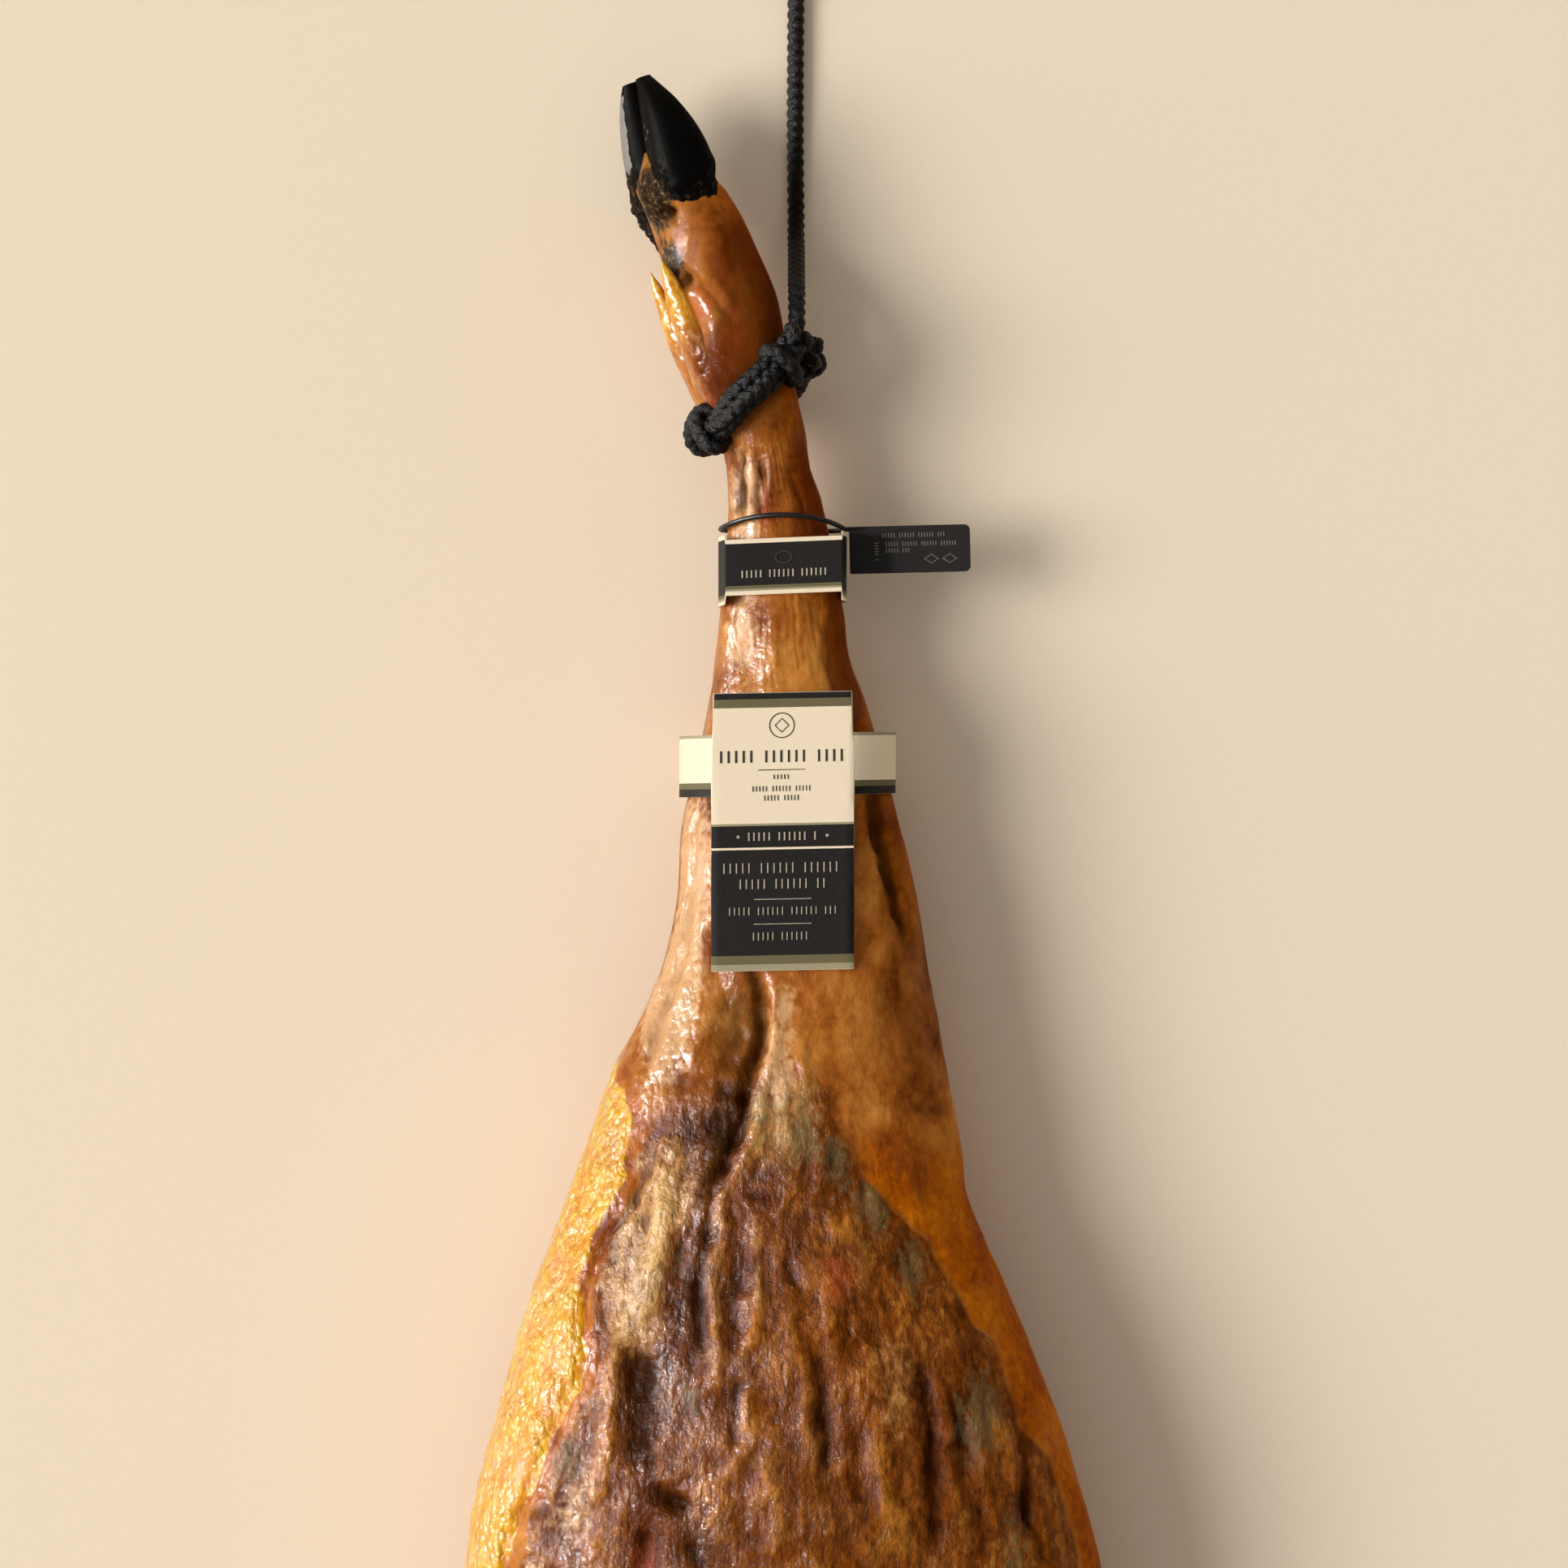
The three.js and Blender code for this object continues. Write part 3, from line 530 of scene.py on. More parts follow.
@dataclass(frozen=True)
class CuredFinish:
    """The ham's own surface: glossy rind, fibrous crust on the meat, wet yellow fat and mould, with painted
    shade in its grooves and hollows and painted highlights on its lit parts.
    """

    rind: tuple[Colour, ...] = ((0.13, 0.026, 0.003), (0.38, 0.115, 0.015), (0.62, 0.26, 0.05))
    meat: tuple[Colour, ...] = ((0.075, 0.015, 0.001), (0.25, 0.064, 0.004), (0.54, 0.20, 0.022))
    # tan: a lighter golden crust, partly its own colour and partly a painted highlight on lit ridges
    tan: tuple[Colour, ...] = ((0.15, 0.048, 0.008), (0.50, 0.235, 0.060), (0.78, 0.47, 0.18))
    # umber: painted shade, the deep red-brown laid over shaded places
    umber_shade: Colour = (0.13, 0.022, 0.002)
    fat: tuple[Colour, ...] = ((0.70, 0.25, 0.003), (0.84, 0.41, 0.008), (0.88, 0.54, 0.035))
    # amber: the rind's deeper orange, partly painted shade on the ham's right side
    amber: tuple[Colour, ...] = ((0.26, 0.050, 0.001), (0.46, 0.105, 0.001), (0.60, 0.18, 0.004))
    # pale: a painted highlight, a pinkish-white wet sheen
    pale: Colour = (0.86, 0.56, 0.30)
    red: Colour = (0.50, 0.085, 0.022)
    mould: Colour = (0.13, 0.11, 0.05)
    # dark: painted shade, laid into grooves, pits, cracks and hollows
    dark: Colour = (0.022, 0.006, 0.001)
    scab: tuple[Colour, ...] = ((0.012, 0.008, 0.006), (0.10, 0.06, 0.025), (0.50, 0.36, 0.18))
    broad_scale: float = 24.0
    blotch_scale: float = 75.0
    fine_scale: float = 300.0
    thread_scale: float = 480.0
    grit_scale: float = 1000.0
    bead_scale: float = 330.0

    def build(self) -> bpy.types.Material:
        """Builds the material: each zone's own noise colours, mixed by the masks on the vertices.

        Returns:
            The material.
        """
        g = Graph("cured_ham")
        broad = g.noise(self.broad_scale, 6.0, warp=0.5)
        blotch = g.noise(self.blotch_scale, 8.0, g.stretched(1.0, 0.6, 1.0), warp=0.4)
        fine = g.noise(self.fine_scale, 8.0, g.stretched(1.0, 0.8, 1.0), warp=0.2)
        threads = g.noise(self.thread_scale, 6.0, g.stretched(1.0, 0.16, 0.7), warp=0.5)
        grit = g.noise(self.grit_scale, 5.0)

        def blend(*parts: tuple[object, float]) -> Socket:
            """Adds noises by their shares, which add up to 1."""
            whole = g.math("MULTIPLY", *parts[0])
            for part, share in parts[1:]:
                whole = g.math("MULTIPLY_ADD", part, share, whole)
            return whole

        def cracks(scale: float, tall: float, width: float) -> Socket:
            """Gives thin wandering lines: 0 on them and 1 away from them."""
            wave = g.noise(scale, 5.0, g.stretched(1.0, tall, 1.0), warp=0.4)
            return g.curve(g.math("ABSOLUTE", g.math("SUBTRACT", wave, 0.5)), 0.0, width)

        def masked(name: str, breakup: object, amount: float = 0.8) -> Socket:
            """Reads a mask and makes its edge ragged with noise."""
            return g.ragged(g.value(name), breakup, amount, 0.25, 0.75)

        def toned(tones: tuple[Colour, ...], value: object, low: float, high: float) -> Socket:
            """Gives three tones along a value."""
            return g.ramp(value, [(low, tones[0]), ((low + high) / 2, tones[1]), (high, tones[2])])

        edge = blend((blotch, 0.6), (fine, 0.4))
        fissures = g.math("MULTIPLY", cracks(55.0, 0.3, 0.035), cracks(120.0, 0.4, 0.05))
        on_meat = masked("meat", edge)
        colour = toned(self.rind, blend((broad, 0.55), (blotch, 0.3), (fine, 0.15)), 0.38, 0.62)
        amber = toned(self.amber, blend((broad, 0.6), (fine, 0.4)), 0.38, 0.62)
        # amber: deeper orange skin, partly painted shade on the right side
        colour = g.mix(masked("amber", edge, 0.5), colour, amber)
        meat = blend((broad, 0.2), (blotch, 0.4), (fine, 0.25), (threads, 0.15))
        # painted light and shade: the relief's crests make the crust lighter and its hollows darker
        meat = g.math("MULTIPLY_ADD", g.math("SUBTRACT", g.value("crest"), g.value("hollow")), 0.14, meat)
        crust = toned(self.meat, meat, 0.36, 0.66)
        # tan: lighter golden crust, partly a painted highlight on the lit left ridges and left of the label
        crust = g.mix(masked("tan", edge), crust, toned(self.tan, meat, 0.38, 0.64))
        # painted shade: the crust's thin cracks are darkened towards the dark colour
        crust = g.mix(g.curve(fissures, 0.0, 1.0, 0.35, 0.0), crust, self.dark)
        colour = g.mix(on_meat, colour, crust)
        fat = blend((blotch, 0.5), (fine, 0.5))
        colour = g.mix(masked("fat", edge, 0.5), colour, toned(self.fat, fat, 0.38, 0.64))
        colour = g.mix(g.math("MULTIPLY.", masked("red", blotch), 0.55), colour, self.red)
        # painted highlight: pale wet sheen on the lit skin beside the label, the shank, the foot and the left
        # crust
        colour = g.mix(g.math("MULTIPLY.", masked("pale", fine, 1.2), 0.6), colour, self.pale)
        colour = g.mix(g.math("MULTIPLY.", masked("mould", fine, 1.8), 0.6), colour, self.mould)
        # painted shade: the umber mask darkens the foot, the shank's right side and the meat's shaded places
        # to deep red-brown
        colour = g.mix(g.math("MULTIPLY.", masked("umber_shade", blotch), 0.85), colour, self.umber_shade)
        colour = g.mix(masked("scab", fine, 1.2), colour, toned(self.scab, g.noise(420.0, 4.0), 0.42, 0.72))
        # painted shade: the dark mask darkens grooves, pits, shaded valleys and the hollows of the relief
        colour = g.mix(g.math("MULTIPLY.", g.value("dark"), 0.8), colour, self.dark)
        normal = g.bump(blend((broad, 0.3), (blotch, 0.7)), 0.7, 3.0)
        crusty = g.math("MULTIPLY_ADD", fissures, 0.10, blend((fine, 0.7), (threads, 0.3)))
        normal = g.bump(g.math("MULTIPLY", crusty, g.value("fibre")), 0.6, 1.8, normal)
        grain = g.math("MULTIPLY", blend((grit, 0.3), (fine, 0.7)), g.value("grain"))
        normal = g.bump(grain, 1.0, 1.5, normal)
        dome = g.math("POWER", g.cells(self.bead_scale, g.stretched(1.0, 0.75, 1.0)), 2.0)
        beads = g.math("MULTIPLY_ADD", dome, -1.0, 1.0)
        beads = g.math("MULTIPLY", beads, g.curve(blotch, 0.35, 0.6, 0.35, 1.0))
        normal = g.bump(g.math("MULTIPLY", beads, g.value("bead")), 1.0, 1.8, normal)
        rough = g.math("ADD.", g.value("rough"), g.math("MULTIPLY_ADD", fine, 0.6, -0.3))
        shine = g.math("MULTIPLY", g.value("gloss"), g.math("MULTIPLY_ADD.", g.value("dark"), -0.9, 1.0))
        wet = g.math("MULTIPLY", g.curve(g.math("ADD", blotch, g.value("wet")), 0.5, 0.85), shine)
        return g.finish(
            Base_Color=colour, Roughness=rough, Normal=normal, Coat_Weight=wet, Coat_Roughness=0.11,
            Coat_Normal=normal, Subsurface_Weight=0.06, Subsurface_Radius=(1.0, 0.3, 0.08),
            Subsurface_Scale=2.5 * MM, Specular_IOR_Level=g.math("MULTIPLY", shine, 0.06),
        )


@dataclass(frozen=True)
class HornFinish:
    """Black hoof horn with fine lengthwise lines, scraped pale grey and glossy along its sole edge; the pale
    grey is partly a painted highlight.
    """

    horn: Colour = (0.003, 0.0025, 0.002)
    scrape_and_highlight: Colour = (0.20, 0.19, 0.18)
    scab: tuple[Colour, ...] = ((0.008, 0.006, 0.005), (0.06, 0.035, 0.018), (0.34, 0.24, 0.14))

    def build(self) -> bpy.types.Material:
        """Builds the material from the masks on the vertices for scraped edges, whose pale grey is partly a
        painted highlight, and for scab.
        """
        g = Graph("hoof_horn")
        lines = g.noise(260.0, 5.0, g.stretched(1.0, 0.12, 1.0), warp=0.3)
        flecks = g.noise(300.0, 6.0)
        scrape_and_highlight = g.ragged(g.value("scrape_and_highlight"), flecks, 1.6, 0.45, 0.8)
        scab = g.ragged(g.value("scab"), flecks, 1.2, 0.35, 0.65)
        # painted highlight: the scraped edge turns pale grey, standing for the gloss along it as well as
        # scraped horn
        colour = g.mix(scrape_and_highlight, self.horn, self.scrape_and_highlight)
        crumbs = g.ramp(g.noise(330.0, 5.0), [(0.5, self.scab[0]), (0.66, self.scab[1]), (0.8, self.scab[2])])
        colour = g.mix(scab, colour, crumbs)
        normal = g.bump(lines, 0.3, 0.5)
        normal = g.bump(g.math("MULTIPLY", g.noise(500.0, 5.0), scab), 0.9, 2.0, normal)
        return g.finish(
            Base_Color=colour, Roughness=g.math("MULTIPLY_ADD.", flecks, 0.4, 0.30), Normal=normal,
            Specular_IOR_Level=g.math("MULTIPLY_ADD.", scrape_and_highlight, 0.4, 0.02),
        )


@dataclass(frozen=True)
class RopeFinish:
    """Black braided yarn: fine threads along each strand and a few bright glints."""

    # deep is painted shade between the strands, sheen a painted sheen on their tops
    deep: Colour = (0.0006, 0.0005, 0.0005)
    sheen: Colour = (0.0035, 0.003, 0.003)

    def build(self) -> bpy.types.Material:
        """Builds the material, with painted shade in the gaps between the strands and a painted sheen on
        their tops.
        """
        g = Graph("black_rope")
        yarn = g.noise(1500.0, 3.0)
        # painted shade and sheen: the strands' tops are lighter and the gaps darker
        colour = g.mix(g.curve(g.value("strand"), 0.2, 1.0), self.deep, self.sheen)
        colour = g.mix(g.math("MULTIPLY.", yarn, 0.5), colour, self.deep)
        return g.finish(
            Base_Color=colour, Roughness=g.math("MULTIPLY_ADD.", yarn, 0.5, 0.12),
            Normal=g.bump(yarn, 1.0, 0.8), Specular_IOR_Level=0.17,
        )


@dataclass(frozen=True)
class CardFinish:
    """Printed card: bands of colour counted from each part's upper edge, on a fine linen grain."""

    name: str
    panel: tuple[tuple[float, Colour], ...]
    arms: tuple[tuple[float, Colour], ...]
    back: Colour = (0.62, 0.53, 0.41)

    def build(self) -> bpy.types.Material:
        """Builds the material from the stored distance under the edge and the part's mask."""
        g = Graph(self.name)
        down = g.value("from_top")
        panel = g.ramp(down, list(self.panel), steps=True)
        arms = g.ramp(down, list(self.arms), steps=True)
        colour = g.mix(g.value("on_panel"), arms, panel)
        colour = g.mix(g.value("inside"), colour, self.back)
        wear = g.noise(900.0, 4.0)
        colour = g.mix(g.curve(wear, 0.35, 0.8, 0.0, 0.012), colour, (0.35, 0.30, 0.24))
        warp, weft = (g.noise(1700.0, 2.0, g.stretched(*way)) for way in ((1.0, 0.2, 1.0), (0.2, 1.0, 1.0)))
        return g.finish(
            Base_Color=colour, Roughness=g.math("MULTIPLY_ADD.", wear, 0.25, 0.5),
            Normal=g.bump(g.math("ADD", warp, weft), 0.35, 0.22), Specular_IOR_Level=0.14,
        )


@dataclass(frozen=True)
class PlainFinish:
    """One even substance, with a light change of tone and a fine grain."""

    name: str
    colour: Colour
    rough: float
    grain: float = 900.0
    change: float = 0.12
    depth: float = 0.1
    shine: float = 0.3

    def build(self) -> bpy.types.Material:
        """Builds the material."""
        g = Graph(self.name)
        speck = g.noise(self.grain, 4.0)
        darker = tuple(c * (1 - 3 * self.change) for c in self.colour)
        colour = g.mix(g.curve(speck, 0.3, 0.7), self.colour, darker)
        return g.finish(
            Base_Color=colour,
            Roughness=g.math("MULTIPLY_ADD.", speck, 0.2, self.rough - 0.1),
            Normal=g.bump(speck, 0.4, self.depth),
            Specular_IOR_Level=self.shine,
        )


CREAM: Colour = (0.86, 0.74, 0.56)
INK: Colour = (0.006, 0.0045, 0.004)
MOSS: Colour = (0.14, 0.12, 0.055)
STONE: Colour = (0.34, 0.30, 0.19)


# ------------------------------------------------------------------ the ham
@dataclass
class LegShape:
    """The leg's plain surface: rounded sections whose edges follow one table.

    Each row is a place along the length from the rump end, the left and right edges as shares of
    the width, and the under and upper sides as shares of the thickness.
    """

    length: float
    width: float
    thickness: float
    rows: tuple[tuple[float, ...], ...] = (
        (0.133, -0.5, 0.5, -0.03, 0.95), (0.19, -0.494, 0.474, -0.03, 0.99),
        (0.243, -0.468, 0.434, -0.03, 1.0), (0.297, -0.426, 0.38, -0.03, 0.98),
        (0.35, -0.38, 0.318, -0.015, 0.925), (0.39, -0.337, 0.271, 0.0, 0.87),
        (0.416, -0.309, 0.264, 0.02, 0.835), (0.456, -0.272, 0.242, 0.04, 0.8),
        (0.483, -0.233, 0.227, 0.055, 0.77), (0.51, -0.198, 0.214, 0.07, 0.75),
        (0.549, -0.173, 0.197, 0.095, 0.72), (0.589, -0.166, 0.172, 0.11, 0.68),
        (0.615, -0.15, 0.152, 0.12, 0.655), (0.656, -0.125, 0.119, 0.14, 0.62),
        (0.682, -0.112, 0.094, 0.155, 0.59), (0.709, -0.106, 0.083, 0.17, 0.565),
        (0.762, -0.094, 0.054, 0.19, 0.53), (0.786, -0.096, 0.033, 0.195, 0.525),
        (0.806, -0.11, 0.025, 0.19, 0.54), (0.833, -0.154, 0.009, 0.17, 0.565),
        (0.86, -0.168, -0.009, 0.155, 0.575), (0.886, -0.188, -0.024, 0.155, 0.575),
        (0.913, -0.208, -0.059, 0.165, 0.565), (0.94, -0.236, -0.1, 0.18, 0.55),
    )
    fullness: float = 2.25
    rump_fullness: float = 2.2
    rump_height: float = 0.42

    def __post_init__(self) -> None:
        """Works out where the rump, the widest place and the toes are."""
        self.table = np.array(self.rows)
        self.rump_y = -self.length / 2
        self.toes_y = self.length / 2
        self.full_y = self.rump_y + self.table[0, 0] * self.length

    def section(self, y: np.ndarray) -> tuple[np.ndarray, ...]:
        """Gives the section at each y.

        Before the widest place every size shrinks as the quarter of a rounded square whose half
        is the distance to the rump end.

        Args:
            y: Places along the ham.

        Returns:
            The middle's x and z, the half width, and the heights over and under the middle.
        """
        y = np.asarray(y, dtype=float)
        along = np.maximum((y - self.rump_y) / self.length, self.table[0, 0])
        left, right = (hermite(self.table, k, along, True) * self.width for k in (1, 2))
        under, over = (hermite(self.table, k, along, True) * self.thickness for k in (3, 4))
        share = np.clip((self.full_y - y) / (self.full_y - self.rump_y), 0.0, 1.0)
        full = (1 - share**self.rump_fullness) ** (1 / self.rump_fullness)
        middle = (under + over) / 2
        tip = self.rump_height * self.thickness
        z = np.where(y < self.full_y, tip + (middle - tip) * full, middle)
        half = full * (right - left) / 2
        return (left + right) / 2, z, half, full * (over - middle), full * (middle - under)

    def ring(self, y: np.ndarray, angle: np.ndarray, grown: float = 0.0) -> np.ndarray:
        """Gives points round the section at each y: a rounded square's edge at each angle.

        Args:
            y: One place for each point.
            angle: The point's angle from +X towards +Z.
            grown: How far outside the surface it is.

        Returns:
            The points, with the same leading axes as y and angle together.
        """
        y, angle = np.broadcast_arrays(y, angle)
        x, z, half, up, down = self.section(y)
        height = np.where(np.sin(angle) > 0, up, down) + grown
        wide, tall = rounded(angle, self.fullness)
        return np.stack([x + (half + grown) * wide, y, z + height * tall], axis=-1)


@dataclass
class HamSurface:
    """The ham's skin, fat and meat: the leg's plain surface with everything that grew on it."""

    shape: LegShape
    cap_rings: int = 44
    bulk_step: float = 2.2
    foot_step: float = 1.25
    foot_from: float = 226.0
    claw_reach: float = 51.0
    toe_lean: float = math.radians(19.5)
    stump: float = 16.0
    front_points: int = 190
    back_points: int = 66
    fat_edge: tuple[Point2, ...] = (
        (-395, -40), (-375, -78), (-345, -98), (-310, -110), (-275, -117), (-250, -120), (-234, -119),
        (-218, -114), (-198, -105), (-185, -99), (-167, -90), (-149, -85.5), (-131, -87), (-117, -86),
        (-101, -81), (-88, -73), (-74, -69), (-59, -66), (-50, -70), (-39, -74), (-22, -77), (0, -90),
    )
    amber_edge: tuple[Point2, ...] = (
        (-395, 45), (-375, 82), (-345, 102), (-310, 116), (-275, 124), (-240, 122.5), (-216, 117),
        (-199, 111), (-185, 101), (-171, 95), (-160, 91.5), (-148, 88), (-138, 77), (-127, 70.5),
        (-109, 61), (-99, 53), (-89, 41), (-77, 31), (-66, 25), (-50, 18), (-38, 30), (0, 60),
    )
    folds: tuple[Stroke, ...] = strokes(
        # the deep groove between the two muscles, and the gentle valley on its left
        (3.4, -5.5, 1.8, -15.4, 12, -14.4, 4, -11.6, -6.5, -11, -16, -13.5, -26, -16.5, -32, -17, -39, -19,
         -49, -23, -57, -27.5, -72, -32, -84),
        (10, -4, 0, -24, 6, -22, -10, -25, -30, -30, -50, -36, -70),
        # the long ridges of the meat, each with the hollow beside it
        (4.6, 3.2, 0, -52, -66, -56, -82, -53, -98, -56, -110, -60, -129, -69, -143, -75, -158, -74, -171,
         -76, -192, -84, -208),
        (9, -4.6, 0, -62, -150, -63, -165, -62, -182, -65, -202),
        (5, -2.6, 0, -43, -92, -46, -112, -47, -132, -50, -150),
        (3, 2.6, 0, -29, -86, -29, -108, -34.5, -119, -33, -135, -30, -148, -29, -160),
        (2.6, -2.8, 0, -34, -88, -35, -106, -40, -119, -39, -136, -36, -150),
        (3.4, -2.4, 0, -22, -112, -25, -130, -23, -150),
        (2.8, 2.6, 0, -13.5, -92, -13.6, -106, -14.3, -122, -12.6, -138, -18.5, -149, -18.7, -156, -17,
         -164, -16.4, -178, -18, -185, -23, -197, -30, -212),
        (3, -3, 0, -18, -158, -21.5, -166, -21, -180, -24, -190),
        (2.8, 2.2, 0, 2.5, -125, 0, -138, 4.4, -152, 9, -164, 8, -173, 10, -187, 10.7, -199, 8, -210),
        (3.6, -2.4, 0, 12, -150, 14, -168, 15, -188, 15, -204),
        (2.6, 1.8, 0, -6, -180, -8, -196, -5, -215, -9, -238),
        (2.6, -1.6, 0, -2, -96, -1, -112, 3, -126),
        (3.8, -2.4, 0.8, 56.5, -150, 58, -164, 60, -181, 61, -205, 60, -236),
        (5, 1.7, 0, 30, -150, 31, -170, 36, -187, 40, -205, 42, -224),
        (3.6, -1.6, 0, 24, -160, 25, -178, 29, -196, 31, -216),
        (3.4, -1.9, 0.8, 72, -178, 76, -196, 80, -214, 82, -236),
        (3, -3.6, 0, 100, -206, 100.5, -213, 101, -226),
        (3.6, 1.4, 0, 88, -176, 93, -196, 96, -216),
        # the bead along the inner half of the fat
        (5.5, 1.7, 0, -70, -62, -76, -88, -88, -118, -94, -148, -103, -176, -116, -206, -125, -240, -126,
         -280, -118, -320),
        (3.4, -1, 0, -80, -66, -86, -92, -98, -122, -105, -152, -114, -180, -126, -208, -133, -240),
        # crumbly hollows at the lower left of the meat
        (4, -4.2, 0, -58, -208, -50, -212, -44, -217),
        (5, -3.6, 0, -70, -214, -62, -226, -60, -244),
        (6, 1.8, 0, -88, -212, -82, -230, -80, -250),
        (4, -2.6, 0, -40, -224, -38, -240, -41, -262),
        # the edge where the crust ends above the fat
        (2.4, -2, 1.2, -58, -57, -62, -74, -66, -88, -76, -101, -82, -117, -86, -131, -86, -149, -90, -167,
         -100, -185, -106, -198, -114, -218, -119, -234, -121, -262),
        # the small ridges and creases round the top of the meat
        (2.6, 1.6, 0, 5.5, -18, 6, -31, 8, -40),
        (2, 1.5, 0, -2, -38, -1, -52, 0, -66),
        (1.8, -1.3, 0, -8, -38, -6, -50),
        (2.2, -1.5, 0.9, -60, -37, -44, -38, -32, -37, -20, -43),
        (2, -2, 0.9, 54, -48, 60, -49.5, 67, -50),
        # the red crease and the folds left of the front label
        (2.4, -2.8, -1.2, -49, 14, -51.6, -1, -57.8, -20.7, -61.6, -32),
        (2.6, 1.7, 0, -44.5, 82, -46, 50, -50, 20, -55, 2),
        (2, -1.8, 0, -40.6, 82, -41.6, 48, -45.8, 18, -50, 2),
        (2.4, 1.6, 0, -36.4, 82, -37, 46, -40, 18, -45, -6),
        (4, -3.6, 0, -35, 28, -33.5, 20, -33, 10),
        (5, 1.4, 0, -30, -4, -38, -18, -46, -30),
        # the long hollow right of it
        (3.6, -4.2, 1, 34.5, 86, 38, 70, 43.5, 49, 48, 31, 51, 18),
        (3, 1.2, 0, 50, 62, 54, 40, 57, 16),
        (4, -1.2, 0, 42, 6, 50, -10, 54, -30),
        # the shank's tendons, over and under the band
        (2.2, -2.6, 0.7, -20, 232, -21, 218, -21, 204),
        (2.2, -2.2, 0.7, -13, 230, -13.5, 216, -12, 202),
        (2, -1.2, 0, 2, 228, 5, 212, 8, 200),
        (3.2, -1.3, 0, -22, 168, -22, 152, -20, 138),
        (3.6, 1.1, 0, -6, 168, -5, 150, -8, 136),
        (3, -1.3, 0, 12, 168, 15, 150, 19, 134),
        # creases round the dewclaws and wrinkles over the ankle
        (1.8, -3, 0, -56, 309, -51, 296, -46.5, 280, -39.5, 262),
        (2.4, -1.8, 0.8, -41, 305, -33, 297, -25, 291),
        (1.3, -1.2, 0.6, -43, 266, -38, 261, -32, 256),
        (1.3, -1.1, 0.6, -40, 271, -34, 265, -28, 261),
        (1.3, -0.9, 0.5, -36, 276, -31, 271, -25, 267),
    ) + strokes(
        # pits between the claws and the ankle
        (3.4, -4.5, 0, -54, 337, -52.5, 333),
        (3, -4.2, 0, -46, 309, -43.5, 303),
        taper=0.5,
    ) + strokes(
        (6, 1.6, 0, -36, 332, -30, 318, -26, 304),
    )
    mould_spots: tuple[Patch, ...] = spots(
        (5, -56, 9, 20, 0.8), (36, -86, 9, 17, 0.95), (80, -178, 12, 22, 0.8), (-92, -196, 6, 11, 0.8),
        (-41, -170, 6, 8, 0.7), (-12, -50, 6, 14, 0.6), (20, -70, 7, 14, 0.7), (52, -116, 8, 16, 0.7),
        (95, -232, 8, 20, 0.6), (-48, -112, 4, 12, 0.5), (-30, -58, 7, 12, 0.5),
        (20, -290, 30, 26, 0.5),
    )
    # painted shade in pits, grooves and shaded valleys
    painted_shade_spots: tuple[Patch, ...] = spots(
        (-26, -22, 9, 30, 0.55), (-32, -64, 8, 20, 0.6), (-62, -176, 9, 28, 0.5),
        (-40, -132, 8, 26, 0.45), (-50, -214, 9, 8, 0.8), (37, 78, 4, 16, 0.95), (43, 52, 3.5, 18, 0.6),
        (-34, 20, 4, 9, 0.5), (100, -216, 3, 9, 0.9), (-53.5, 335, 4, 4, 0.95),
        (-45, 306, 3.5, 4.5, 0.9), (-48, 288, 3, 16, 0.5), (-61, 345, 9, 16, 1.0),
        (-20, 262, 12, 10, 0.75), (-6, 290, 9, 40, 0.45), (-30, -250, 40, 20, 0.25),
        (-21, 218, 2.2, 14, 0.4), (14, -200, 5, 40, 0.35), (36, -230, 30, 30, 0.25),
    )
    red_spots: tuple[Patch, ...] = spots(
        (-56, -18, 3.5, 20, 0.8), (-35, 22, 5, 14, 0.9), (-12, 208, 8, 14, 0.7), (-38, 296, 8, 12, 0.6),
        (20, -120, 10, 16, 0.6), (4, 170, 14, 14, 0.4), (-60, -238, 10, 16, 0.7),
        (-76, -66, 9, 20, 0.5),
    )
    # painted shade along the grooves
    painted_shade_lines: tuple[Stroke, ...] = strokes(
        (2.8, 1.1, 0, -15.8, 12, -15.4, 4, -13.4, -6.5, -13.4, -16, -16, -26, -19, -34, -19.5, -41, -22,
         -50, -27, -58, -33, -72, -38, -88),
        (2.4, 0.95, 0, 35.5, 88, 38.5, 70, 43.5, 50, 48, 31, 51, 18),
        (1.6, 0.7, 0, -21, 232, -22, 218, -22, 204),
        (1.5, 0.55, 0, -13, 230, -13.8, 216, -12.5, 202),
        (1.6, 0.75, 0, -56, 309, -51, 296, -46.5, 280, -40, 264),
        (1.8, 0.45, 0, -60, -92, -64, -108, -62, -130, -72, -146),
        (2.2, 0.6, 0, -35, -92, -36, -108, -41, -122, -39, -140, -35, -154),
        (1.8, 0.55, 0, -21, -112, -24, -130, -22, -152, -24, -178, -28, -196),
        (1.8, 0.5, 0, 13, -150, 15, -168, 16, -190, 15, -214),
        (2.4, 0.4, 0, -60, -152, -62, -170, -60, -190, -58, -206, -48, -216),
        (1.6, 0.45, 0, 57, -150, 59, -170, 61, -205, 61, -236),
    )
    # lighter golden crust, partly a painted highlight where the left side is lit
    tan_and_highlight_spots: tuple[Patch, ...] = spots(
        (-66, -115, 14, 46, 1.1), (-3, -52, 18, 24, 0.9), (-48, -80, 10, 22, 0.6),
        (-92, -215, 15, 24, 0.5), (-30, -110, 6, 34, 0.5), (46, -165, 14, 30, 0.5),
        (-14, -120, 4, 30, 0.5), (-16, 214, 10, 26, 0.8), (-16, 150, 9, 20, 0.6), (-44, 30, 9, 60, 0.8),
        (-42, 332, 12, 12, 0.45),
    )
